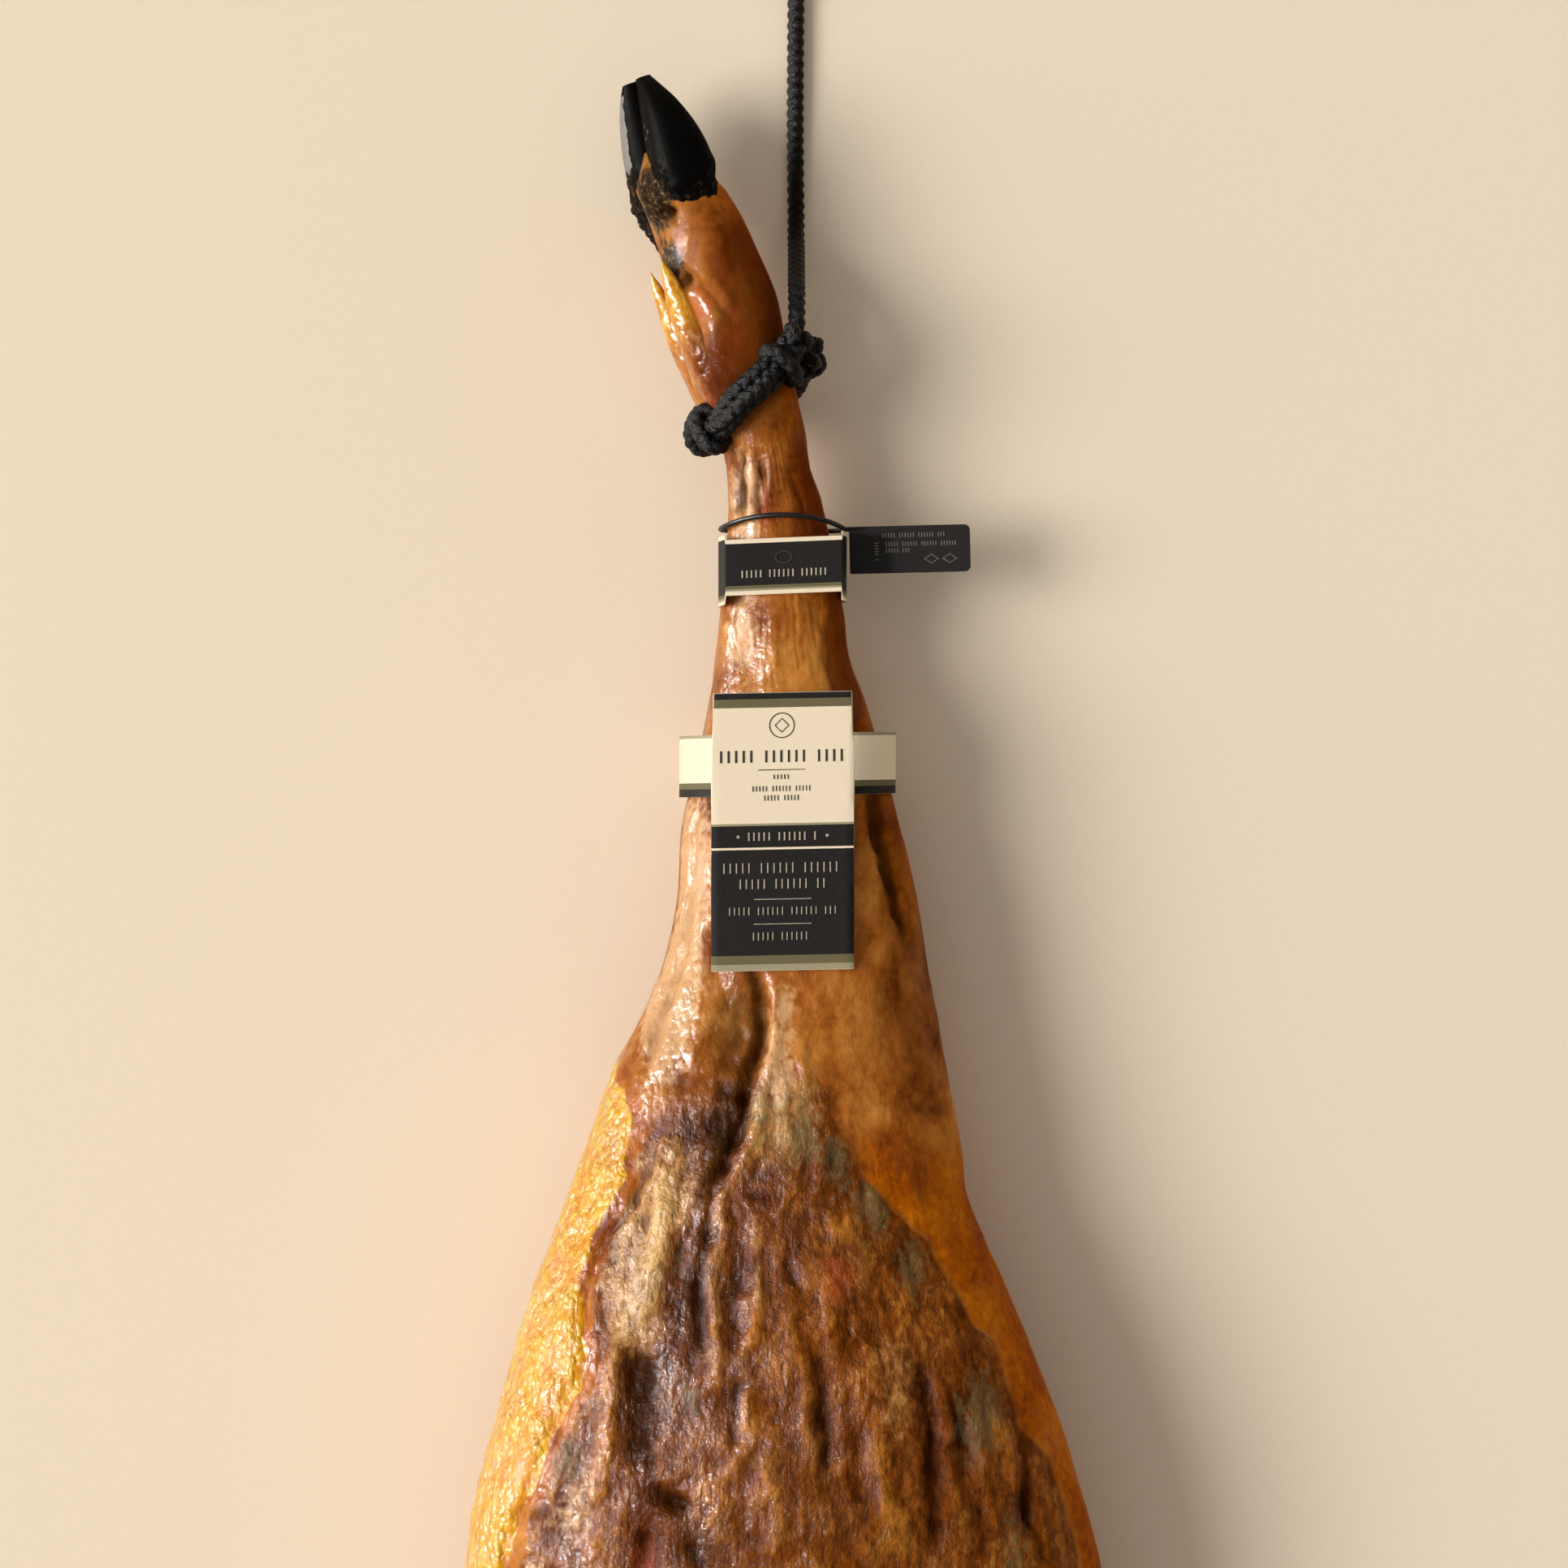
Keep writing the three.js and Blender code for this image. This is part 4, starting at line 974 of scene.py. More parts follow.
    # painted shade in deep red-brown on the foot, the shank's right side, the meat's hollows and its right
    umber_shade_spots: tuple[Patch, ...] = spots(
        (-20, 273, 13, 14, 1.6), (-60, -215, 16, 24, 0.6), (-12, -230, 26, 30, 0.35),
        (-12, 286, 13, 28, 1.2), (-24, 266, 9, 11, 0.8), (10, 214, 10, 34, 1.0),
        (-20, 320, 11, 26, 0.8), (24, 150, 9, 40, 0.9), (8, 186, 14, 16, 0.5), (25, 150, 7, 40, 0.8),
        (46, 60, 10, 46, 0.6), (-40, 338, 8, 8, 0.5), (-34, -20, 8, 22, 0.4), (38, -12, 12, 26, 0.35),
        (-2, 300, 8, 34, 0.6), (55, -73, 16, 26, 0.45), (-32, 311, 9, 16, 0.4),
    )
    # painted highlights: pale wet sheen on lit skin
    painted_highlight_spots: tuple[Patch, ...] = spots(
        (-42, 50, 9, 50, 0.9), (-50, -4, 10, 30, 0.9), (-16, 154, 10, 16, 0.4), (-46, 272, 9, 14, 0.9),
        (-5, -34, 9, 24, 0.7), (-54, 296, 5, 22, 0.9), (-19, 214, 8, 24, 0.8), (-22, 150, 6, 26, 0.5),
        (-64, -120, 6, 30, 0.7), (-92, -222, 14, 18, 0.5), (2, 60, 20, 30, 0.3), (-2, -4, 6, 12, 0.5),
        (-58, -18, 7, 22, 0.6),
    )
    scab_spots: tuple[Patch, ...] = spots((-52, 314, 7, 8, 1.2), (-60, 340, 9, 14, 1.3))
    foot_starts: tuple[float, float] = (226.0, 262.0)
    wrapped: tuple[Point2, ...] = ((164.0, 208.0), (7.0, 132.0), (238.0, 276.0))
    wrap_margin: float = 6.0
    sway: float = 2.2
    drift: float = 3.0
    wrinkle_height: float = 1.9
    pucker_height: float = 1.0
    node_height: float = 0.8
    lump_height: float = 1.3
    fat_height: float = 0.9
    dent_height: float = 0.5

    def stations(self) -> np.ndarray:
        """Gives the rings' places along the ham, closer together on the foot and the rump's end."""
        shape = self.shape
        turn = np.linspace(0.0, math.pi / 2, self.cap_rings + 1)[1:-1]
        cap = shape.full_y - (shape.full_y - shape.rump_y) * np.cos(turn)
        bulk = np.arange(shape.full_y, self.foot_from, self.bulk_step)
        coronet = shape.toes_y - self.claw_reach * math.cos(self.toe_lean)
        count = int((coronet - self.foot_from) / self.foot_step)
        return np.concatenate([cap, bulk, np.linspace(self.foot_from, coronet, count)])

    def angles(self) -> np.ndarray:
        """Gives the angles of a ring's points, closer together over the meat face."""
        front = np.linspace(0.0, math.pi, self.front_points, endpoint=False)
        back = np.linspace(math.pi, 2 * math.pi, self.back_points, endpoint=False)
        return np.concatenate([front, back])

    def plain(self) -> np.ndarray:
        """Gives the plain surface's rings, the last one drawn in among the claws."""
        y, angle = self.stations(), self.angles()
        rings = self.shape.ring(y[:, None], angle[None, :])
        last = rings[-1].copy()
        middle = last.mean(axis=0)
        last = middle + (last - middle) * 0.55
        last += self.stump * np.array([-math.sin(self.toe_lean), math.cos(self.toe_lean), 0.0])
        return np.concatenate([rings, last[None]])

    def normals(self, rings: np.ndarray) -> np.ndarray:
        """Gives the outward direction at each point from its neighbours' differences."""
        along = np.gradient(rings, axis=0)
        around = np.roll(rings, -1, axis=1) - np.roll(rings, 1, axis=1)
        out = np.cross(around, along)
        out /= np.maximum(np.linalg.norm(out, axis=2, keepdims=True), 1e-9)
        middle = rings.mean(axis=1, keepdims=True)
        sign = np.sign(np.einsum("ijk,ijk->ij", out, rings - middle).sum())
        return out * sign

    def zones(self, p: np.ndarray, out: np.ndarray) -> dict[str, np.ndarray]:
        """Works out where each kind of surface lies, as masks from 0 to 1.

        The meat face lies between the two edges and under the leg's muscles, on the side that faces up. The
        fat lies outside the left edge and round the rump, and the amber skin outside the right edge, on the
        right of the leg and underneath; the amber is partly the skin's deeper colour and partly painted shade
        on the right side.

        Args:
            p: The surface's points.
            out: Their outward directions.

        Returns:
            The masks by name.
        """
        x, y = p[..., 0], p[..., 1]
        wander = 4.0 * Noise(5).rough(p / 24.0, 3)
        fat_y, fat_x = np.array(self.fat_edge).T
        amber_y, amber_x = np.array(self.amber_edge).T
        left = np.interp(y, fat_y, fat_x) + wander
        right = np.interp(y, amber_y, amber_x) + wander
        facing = smooth(-0.1, 0.35, out[..., 2])
        top = smooth(-18.0, -56.0, y + 2.2 * wander + 0.25 * np.abs(x + 12.0))
        low = smooth(-374.0, -342.0, y + 3.5 * wander)
        meat = smooth(2.0, 9.0, x - left) * smooth(-3.0, 3.0, right - x) * top * facing * low
        below = smooth(-14.0, -40.0, y + wander)
        late = smooth(-5.0, -130.0, y + 2.0 * wander)
        fat = below * (1 - smooth(-3.0, 3.0, x - left)) * smooth(-0.9, -0.2, out[..., 2])
        fat = np.maximum(fat, (1 - low) * smooth(-0.9, -0.2, out[..., 2]))
        amber = late * smooth(-5.0, 7.0, x - right)
        streak = 0.45 * below * smooth(-9.0, 1.0, x - left) * smooth(13.0, 6.0, x - left) * facing
        # painted shade: the shank's right-facing side takes the deeper amber
        shank = smooth(-20.0, 60.0, y) * smooth(0.05, 0.75, out[..., 0]) * 0.55
        under = smooth(0.15, -0.35, out[..., 2]) * 0.75
        return {
            "meat": meat, "fat": fat, "facing": facing,
            "amber": np.clip(np.maximum.reduce([amber, streak, shank, under * (1 - fat)]), 0, 1),
        }

    def relief(self, p: np.ndarray, zone: dict[str, np.ndarray]) -> np.ndarray:
        """Works out how far each point stands out from the plain surface.

        Named strokes give the big folds. Creased noise, drawn out along the leg and fanned with
        its width, gives the meat's wrinkles, and shallower noise gives the fat and the skin.

        Args:
            p: The surface's points.
            zone: The masks.

        Returns:
            The distance for each point.
        """
        x, y, z = p[..., 0], p[..., 1], p[..., 2]
        middle, mid_z, half, up, _ = self.shape.section(y)
        wobble = Noise(11)
        sway = self.sway * wobble.rough(p / 15.0, 2)
        drift = self.drift * wobble.rough(p / 21.0 + 5.0, 2)
        rise = total(self.folds, x + sway, y + drift) * zone["facing"]
        rise *= 0.95 + 0.5 * Noise(13).rough(p / 9.0, 2)
        fan = np.stack([(x - middle) / np.maximum(half, 14.0) * 118.0, y, (z - mid_z) * 1.2], axis=-1)
        bent = fan + 5.0 * np.stack([sway, drift, sway], axis=-1) * np.array([0.5, 0.0, 0.5])
        wrinkle = Noise(23).creased(bent / np.array([13.0, 62.0, 22.0]), 3)
        pucker = Noise(29).creased(bent / np.array([5.2, 17.0, 9.0]), 2)
        lumps = Noise(31).rough(p / np.array([26.0, 44.0, 26.0]), 2)
        meat, fat = zone["meat"], zone["fat"]
        nodes = Noise(33).creased(bent / np.array([8.0, 12.0, 9.0]), 2)
        rise += meat * (
            self.wrinkle_height * (wrinkle - 0.42) + self.pucker_height * (pucker - 0.3)
            + self.node_height * (nodes - 0.35) + self.lump_height * lumps
        )
        rise += fat * (self.fat_height * lumps + self.dent_height * Noise(37).rough(p / 7.0, 2))
        skin = 1 - np.maximum(meat, fat)
        foot = smooth(*self.foot_starts, y)
        folds = Noise(41).creased(bent / np.array([13.0, 38.0, 16.0]), 2) - 0.3
        rise += skin * ((0.9 + 0.5 * foot) * lumps + 0.5 * (1 - foot) * folds)
        return rise

    def build(self) -> bpy.types.Object:
        """Makes the ham's surface with its masks.

        Returns:
            The object.
        """
        rings = self.plain()
        out = self.normals(rings)
        zone = self.zones(rings, out)
        rise = self.relief(rings, zone)
        y = rings[..., 1]
        covered = smooth(self.shape.full_y + 6.0, self.shape.full_y - 60.0, y)
        rise *= 1 - 0.6 * covered
        snug = np.zeros(y.shape)
        for low, high in self.wrapped:
            within = smooth(low - self.wrap_margin, low, y) * smooth(high + self.wrap_margin, high, y)
            snug = np.maximum(snug, within)
        rise = np.where(rise > 0, rise * (1 - snug), rise)
        rise[-1] = 0.0
        # how deep each hollow and how high each crest is, read by the colour as painted shade and painted
        # highlight
        hollow = np.clip(-rise / 4.0, 0.0, 1.0)
        crest = np.clip(rise / 3.0, 0.0, 1.0)
        shaped = rings + out * rise[..., None]
        shaped[..., 2] = np.maximum(shaped[..., 2], 0.0)
        points, faces = shell(shaped)
        thing = make_object("ham_leg", points, faces)
        x = rings[..., 0]
        facing = zone["facing"]
        gritty = total(self.scab_spots, x, y) * facing
        foot = smooth(*self.foot_starts, y)
        wander = 1.6 * Noise(61).rough(rings / 8.0, 2)
        lines = np.max([line.reach(x + wander, y) for line in self.painted_shade_lines], axis=0)
        # painted shade: darker along the grooves, in the listed spots and in each hollow of the relief
        dark = (0.8 * total(self.painted_shade_spots, x, y) + lines) * facing + 0.5 * hollow**1.4
        fat, meat = zone["fat"], zone["meat"]
        # pale: painted highlights
        pale = np.clip(total(self.painted_highlight_spots, x, y) * facing * (1 - zone["amber"]), 0, 1)
        # umber: painted shade
        umber_shade = total(self.umber_shade_spots, x, y) * facing
        across = (x - self.shape.section(y)[0]) / (self.shape.section(y)[2] + 1.0)
        masks = {
            "meat": meat, "fat": fat, "amber": zone["amber"],
            "mould": total(self.mould_spots, x, y) * meat,
            "dark": np.clip(dark, 0, 1) * (1 - 0.8 * fat),
            "red": total(self.red_spots, x, y) * facing,
            "pale": pale,
            "scab": np.clip(gritty, 0, 1.2),
            "tan": total(self.tan_and_highlight_spots, x, y) * facing,
            "umber_shade": umber_shade,
            "gloss": (0.25 + 0.75 * smooth(0.45, -0.35, across)) * (1 - 0.75 * np.clip(umber_shade, 0, 1)),
            "hollow": hollow, "crest": crest,
            "bead": np.clip(0.55 * fat + 0.35 * (1 - meat) * smooth(0.0, -40.0, x) * smooth(230.0, 150.0, y)
                            + 0.35 * meat * smooth(40.0, -60.0, x), 0, 1),
            "fibre": (0.3 + 0.7 * meat) * (1 - 0.85 * np.maximum(foot, fat)) * (1 - 0.5 * zone["amber"]),
            "grain": (0.35 + 0.4 * np.maximum(fat, meat)) * (1 - 0.6 * foot) + np.clip(gritty, 0, 1),
            "rough": 0.46 + 0.02 * meat - 0.12 * fat + 0.06 * zone["amber"],
            "wet": 0.12 + 0.25 * fat + 0.08 * meat - 0.1 * foot - 0.1 * zone["amber"],
        }
        for name, values in masks.items():
            set_values(thing, name, values)
        return thing


@dataclass
class Claws:
    """The two claws of the foot, each a D-shaped cone of horn, flat against the cleft."""

    shape: LegShape
    reach: float = 51.0
    lean: float = math.radians(19.5)
    roll: float = math.radians(20.0)
    cleft: float = 2.4
    inset: float = 1.5
    rows: tuple[tuple[float, ...], ...] = (
        (-0.55, 8, 11, 14), (-0.28, 11.5, 16, 21), (0.0, 13.5, 16, 24), (0.24, 13.8, 14.3, 24),
        (0.47, 12.2, 12.8, 22), (0.71, 8.6, 10.4, 17.5), (0.88, 4.6, 8.2, 12), (1.0, 1.6, 6, 6),
    )
    upper_back: tuple[float, ...] = (5, 8, 13.5, 12.4, 9.8, 6.8, 4.2, 2.4)
    upper_front: tuple[float, ...] = (8, 11.5, 13.5, 13.8, 12.2, 8.8, 5.4, 3.6)
    fullness: float = 2.7
    slant: float = 0.09
    rings: int = 92
    sides: int = 84

    def axes(self) -> tuple[np.ndarray, ...]:
        """Gives the coronet's middle, and the directions along the toes, to the sole and across."""
        along = np.array([-math.sin(self.lean), math.cos(self.lean), 0.0])
        flat = np.cross([0.0, 0.0, 1.0], along)
        sole = flat * math.cos(self.roll) + np.cross(along, flat) * math.sin(self.roll)
        across = -np.cross(sole, along)
        y = self.shape.toes_y - self.reach * math.cos(self.lean)
        x, z = (float(v) for v in self.shape.section(np.array(y))[:2])
        return np.array([x - self.inset, y, z]), along, sole, across

    def build(self, name: str, side: float) -> bpy.types.Object:
        """Makes one claw.

        Round each ring the depth and the width follow a rounded square, and the horn carries
        fine lengthwise ribs and growth rings, and a crumbly heel behind the coronet.

        Args:
            name: The object's name.
            side: 1 for the upper claw and -1 for the lower one.

        Returns:
            The object.
        """
        middle, along, sole, across = self.axes()
        table = np.array(self.rows, dtype=float)
        if side > 0:
            table[:, 1], table[:, 2] = self.upper_front, self.upper_back
        at = np.linspace(table[0, 0], 1.0, self.rings)[:, None]
        angle = turns(self.sides)[None, :]
        front, back, width = (hermite(table, k, at.ravel())[:, None] for k in (1, 2, 3))
        deep, wide = rounded(angle, self.fullness)
        depth = np.where(np.cos(angle) > 0, back, front) * deep
        away = self.cleft / 2 + width / 2 * (1 + wide)
        p = (
            middle + (at * self.reach)[..., None] * along + depth[..., None] * sole
            + (side * away)[..., None] * across
        )
        behind = p.mean(axis=1, keepdims=True)
        out = unit(p - behind)
        soleward = np.cos(angle)
        heel = smooth(0.42, 0.05, at) * smooth(0.45, 0.95, soleward)
        ringed = smooth(0.02, -0.06, at + self.slant * soleward) * np.ones_like(angle)
        heel = np.maximum(heel * (0.6 if side > 0 else 1.0), ringed * (0.45 if side > 0 else 1.0))
        past = at + self.slant * soleward
        ribs = 0.05 * np.sin(30 * angle) * smooth(0.0, 0.2, at)
        crumbs = heel * (1.5 * Noise(43).rough(p / 4.2, 3) - 0.2)
        lip = 0.5 * np.exp(-(((past - 0.03) / 0.05) ** 2))
        tucked = 1.0 * smooth(0.0, -0.12, past)
        p = p + out * (ribs * (1 - heel) + crumbs + lip - tucked)[..., None]
        p[-1] = p[-2] * 0.35 + p[-1] * 0.65
        points, faces = shell(p)
        thing = make_object(name, points, faces)
        edge = smooth(0.86, 1.0, soleward) * smooth(0.1, 0.4, at) * smooth(1.0, 0.85, at)
        # the scraped sole edge: partly scraped horn, partly a painted highlight
        set_values(thing, "scrape_and_highlight", np.broadcast_to(edge * (0.95 if side < 0 else 0.3), heel.shape).copy())
        set_values(thing, "scab", heel)
        return thing


@dataclass(frozen=True)
class Dewclaw:
    """A small side claw: a pointed cone of skin and horn that lies along the foot."""

    name: str
    base: tuple[float, float, float]
    tip: tuple[float, float, float]
    width: float
    rings: int = 48
    sides: int = 40
    bend: tuple[float, float, float] = (-1.5, 0.0, 2.0)

    def build(self) -> bpy.types.Object:
        """Makes the dewclaw: rings round a line whose radius swells and then closes to a point.

        Returns:
            The object.
        """
        base, tip = np.array(self.base), np.array(self.tip)
        t = np.linspace(0.0, 1.0, self.rings)
        path = base + (tip - base) * t[:, None] + np.array(self.bend) * np.sin(math.pi * t)[:, None]
        radius = np.maximum(self.width * np.clip(1 - t**1.7, 0.0, 1.0) ** 0.72, 0.3)
        angle = turns(self.sides)
        circle = np.stack([np.cos(angle), 0.85 * np.sin(angle)], axis=-1)
        up = np.tile([0.0, 0.0, 1.0], (self.rings, 1))
        rings = tube(path, up, radius[:, None, None] * circle[None], False)
        out = rings - path[:, None, :]
        out /= np.maximum(np.linalg.norm(out, axis=2, keepdims=True), 1e-6)
        bumps = 0.35 * Noise(47).rough(rings / 6.0, 2) * smooth(0.0, 1.5, radius)[:, None]
        rings = rings + out * bumps[..., None]
        points, faces = shell(rings)
        thing = make_object(self.name, points, faces)
        shade = np.broadcast_to(t[:, None], rings.shape[:2])
        values = dict.fromkeys(("meat", "amber", "mould", "dark", "scab", "tan", "hollow", "crest"), 0.0)
        # towards its base the dewclaw takes painted shade where it meets the foot
        values |= {
            "fat": smooth(0.25, 0.7, shade) * 0.6, "red": 0.5 * (1 - shade),
            # the pale share towards the tip is a painted highlight
            "pale": 0.3 * smooth(0.1, 0.5, shade), "umber_shade": 0.3 * (1 - shade), "gloss": 1.0,
            "fibre": 0.1, "grain": 0.2, "bead": 0.3, "rough": 0.32, "wet": 0.3,
        }
        for name, value in values.items():
            set_values(thing, name, np.broadcast_to(value, shade.shape).copy())
        return thing


# ------------------------------------------------------------------ the rope
class Lay(Enum):
    """How a stretch of the rope runs."""

    OPEN = "open"
    CLOSED = "closed"


@dataclass
class Braid:
    """Round braided rope: two sets of strands that wind both ways and pass over and under."""

    diameter: float = 7.7
    strands: int = 3
    pitch: float = 14.5
    depth: float = 1.15
    sides: int = 36
    step: float = 0.5

    def rings(self, path: np.ndarray, side: np.ndarray, lay: Lay) -> tuple[np.ndarray, np.ndarray]:
        """Builds the braid's surface along a path.

        Each set of strands is a stripe that winds round the rope. At each crossing a chequer says
        which set is on top, and the surface is the top strand's round back.

        Args:
            path: Evenly spaced points.
            side: A direction for each point that is never along the path.
            lay: Whether the path closes on itself.

        Returns:
            The rings of points, and how high on a strand each point is, from 0 to 1.
        """
        ring = lay is Lay.CLOSED
        run = distances(path)[:, None]
        if ring:
            whole = run[-1] + np.linalg.norm(path[0] - path[-1])
            run = run * (self.pitch * max(round(float(whole[0]) / self.pitch), 1) / whole)
        angle = turns(self.sides)[None, :]
        a = self.strands * angle / (2 * math.pi) + run * self.strands / self.pitch
        b = self.strands * angle / (2 * math.pi) - run * self.strands / self.pitch
        over = np.where((np.floor(a) + np.floor(b)) % 2 == 0, a, b)
        across = np.abs(over - np.floor(over) - 0.5) * 2
        other = np.where((np.floor(a) + np.floor(b)) % 2 == 0, b, a)
        ends = np.abs(other - np.floor(other) - 0.5) * 2
        height = np.sqrt(np.clip(1 - across**2.2, 0, 1)) * (1 - 0.45 * ends**2)
        radius = self.diameter / 2 - self.depth * (1 - height)
        section = np.stack([radius * np.cos(angle), radius * np.sin(angle)], axis=-1)
        return tube(path, side, section, ring), height


@dataclass
class Rope:
    """The rope that the ham hung by: the noose on the shank, the free end and its eye."""

    shape: LegShape
    braid: Braid = field(default_factory=Braid)
    noose_from_toes: float = 138.0
    front_slope: float = 0.95
    back_slope: float = 0.25
    clearance: float = 0.3
    route: tuple[tuple[float, float, float], ...] = (
        (3.2, 286, 60.5), (3.2, 292.6, 59), (3.2, 298.7, 55.9), (3.2, 303.1, 52), (3.1, 306.3, 47.6),
        (3.1, 312.2, 38.2), (3.1, 318, 28.9), (3.1, 324.2, 19.2), (3, 329, 13), (3, 335.2, 8.2),
        (3, 342.5, 5.3), (2.9, 350.2, 4.3), (2.8, 360, 4.1), (2.7, 374, 4.1), (2.7, 392, 4.1),
        (2.8, 412, 4.1), (3, 438, 4.1), (3.3, 464, 4.1),
    )
    eye_length: float = 46.0
    eye_width: float = 26.0
    eye_knot: Point2 = (10.3, 3.0)
    knot_height: float = 1.6
    turn_points: int = 300
    knot_points: int = 90
    wrap_points: int = 60
    eye_points: int = 80

    def place(self, angle: np.ndarray, proud: float = 0.0) -> tuple[np.ndarray, np.ndarray]:
        """Gives the noose's middle line and the direction out of the leg at each angle.

        Args:
            angle: Angles round the leg from +X towards +Z.
            proud: How far outside the rope's usual place the line is.

        Returns:
            The points and the outward directions.
        """
        middle_y = self.shape.toes_y - self.noose_from_toes
        front = (1 + np.sin(angle)) / 2
        slope = self.back_slope + (self.front_slope - self.back_slope) * front
        half = float(self.shape.section(np.array(middle_y))[2])
        y = middle_y + slope * half * np.cos(angle)
        away = self.clearance + self.braid.diameter / 2 + proud
        points = self.shape.ring(y, angle, away)
        x = self.shape.section(y)[0]
        z = self.shape.section(y)[1]
        out = points - np.stack([x, y, z], axis=-1)
        return points, unit(out)

    def turn(self, shift: float, wave: float, phase: float, proud: float = 0.0) -> tuple[Shell, np.ndarray]:
        """Makes one turn of the noose beside its middle line.

        Args:
            shift: How far it lies towards the toes.
            wave: How far it wanders from that.
            phase: Where the wander starts.
            proud: How far outside the first turns it lies.

        Returns:
            The closed shell and the height on the strands of each point.
        """
        angle = turns(self.turn_points)
        middle, out = self.place(angle, proud)
        ahead = np.roll(middle, -1, axis=0) - np.roll(middle, 1, axis=0)
        wide = unit(np.cross(out, ahead))
        wide *= np.sign(wide[:, 1:2].sum())
        offset = shift + wave * np.sin(2 * angle + phase)
        path = spread(middle + wide * offset[:, None], self.braid.step, ring=True)
        _, side = self.place(np.linspace(0.0, 2 * math.pi, len(path), endpoint=False))
        rings, height = self.braid.rings(path, side, Lay.CLOSED)
        return shell(rings, ring=True), height

    def knot(self, middle: np.ndarray, out: np.ndarray, radius: float, twist: float,
             braid: Braid) -> tuple[Shell, np.ndarray]:
        """Makes a tight knot: a trefoil, a ring that winds three times through itself.

        Args:
            middle: The knot's middle.
            out: The direction that its face looks along.
            radius: The half size of its line.
            twist: How far it is turned about that direction.
            braid: The rope that it is tied in.

        Returns:
            The closed shell and the height on the strands of each point.
        """
        t = turns(self.knot_points)
        x, y = np.sin(t) + 2 * np.sin(2 * t), np.cos(t) - 2 * np.cos(2 * t)
        flat = np.stack([x, y, -self.knot_height * np.sin(3 * t)], axis=-1)
        flat *= radius / 3.0
        c, s = math.cos(twist), math.sin(twist)
        flat = flat @ np.array([[c, s, 0.0], [-s, c, 0.0], [0.0, 0.0, 1.0]])
        up = np.array([0.0, 1.0, 0.0])
        right = unit(np.cross(up, out))
        up = np.cross(out, right)
        path = spread(middle + flat @ np.stack([right, up, out]), braid.step, ring=True)
        rings, height = braid.rings(path, path - middle + 0.3 * out, Lay.CLOSED)
        return shell(rings, ring=True), height

    def wrap(self, angle: float, radius: tuple[float, float], lean: float) -> tuple[Shell, np.ndarray]:
        """Makes a short turn of rope round both turns of the noose.

        Args:
            angle: Where round the leg it is.
            radius: Its line's half sizes across the noose and out of the leg.
            lean: How far it leans along the noose from one side to the other.

        Returns:
            The closed shell and the height on the strands of each point.
        """
        points, outs = self.place(np.array([angle - 0.05, angle, angle + 0.05]))
        out, ahead = outs[1], unit(points[2] - points[0])
        wide = np.cross(out, ahead)
        t = turns(self.wrap_points)[:, None]
        path = points[1] + 1.0 * out + radius[0] * np.cos(t) * wide
        path = path + radius[1] * np.sin(t) * out + lean * np.cos(t) * ahead
        path = spread(path, self.braid.step, ring=True)
        rings, height = self.braid.rings(path, path - points[1] + 0.01 * ahead, Lay.CLOSED)
        return shell(rings, ring=True), height

    def together(self, name: str, parts: list) -> bpy.types.Object:
        """Puts several lengths of rope into one object with their strand heights."""
        points, faces = merged([part for part, _ in parts])
        heights = []
        for (some, _), height in parts:
            filled = np.full(len(some), 0.5)
            filled[: height.size] = height.ravel()
            heights.append(filled)
        thing = make_object(name, points, faces)
        set_values(thing, "strand", np.concatenate(heights))
        return thing

    def noose(self) -> bpy.types.Object:
        """Makes the noose with its two turns, the hitch at its right and the bight at its left."""
        right, right_out = self.place(np.array([math.radians(12), math.radians(46)]), 3.0)
        small = Braid(diameter=7.0, step=0.5)
        parts = [
            self.turn(3.6, 0.4, 0.4), self.turn(-3.6, 0.5, 2.0), self.turn(0.2, 2.6, 1.1, 2.6),
            self.knot(right[0] + [1.5, 2.0, 0.0], right_out[0], 6.6, 0.5, small),
            self.knot(right[1] + [2.5, 9.0, -1.0], right_out[1], 5.6, 1.3, small),
            self.wrap(math.radians(52), (8.2, 6.2), -3.0),
            self.wrap(math.radians(168), (8.8, 6.4), 4.0),
            self.wrap(math.radians(152), (8.4, 6.2), -4.5),
        ]
        return self.together("noose", parts)

    def lead(self) -> tuple[bpy.types.Object, np.ndarray]:
        """Makes the free end, from the upper knot down to the surface and along it.

        Returns:
            The object and the points that it follows, in metres.
        """
        path = spread(np.array(self.route, dtype=float), self.braid.step)
        side = np.tile([1.0, 0.0, 0.0], (len(path), 1))
        rings, height = self.braid.rings(path, side, Lay.OPEN)
        thing = self.together("rope", [(shell(rings), height)])
        return thing, path * MM

    def eye(self) -> bpy.types.Object:
        """Makes the loop at the end of the rope, lying flat, and the knot that closes it."""
        x, y, z = self.route[-1]
        knot = np.array([x, y + self.eye_knot[0], z + self.eye_knot[1]])
        t = turns(self.eye_points)
        middle = np.array([x, knot[1] + self.eye_length / 2, z])
        pear = self.eye_width / 2 * np.sin(t) * (1 - 0.35 * np.cos(t))
        path = middle + np.stack([pear, -self.eye_length / 2 * np.cos(t), 0 * t], axis=-1)
        path = spread(path, self.braid.step, ring=True)
        rings, height = self.braid.rings(path, np.tile([0.0, 0.0, 1.0], (len(path), 1)), Lay.CLOSED)
        tight = Braid(diameter=6.4, step=0.5)
        tied = self.knot(knot, np.array([0.0, 0.25, 0.97]), 5.2, 0.2, tight)
        return self.together("rope_end_loop", [(shell(rings, ring=True), height), tied])


# ------------------------------------------------------------------ the cards
class Mark(Enum):
    """A plain printed ornament."""

    RULE = "rule"
    TICKS = "ticks"
    UPRIGHT = "upright ticks"
    DOTS = "dots"
    LOZENGE = "lozenge"
    RING = "ring"


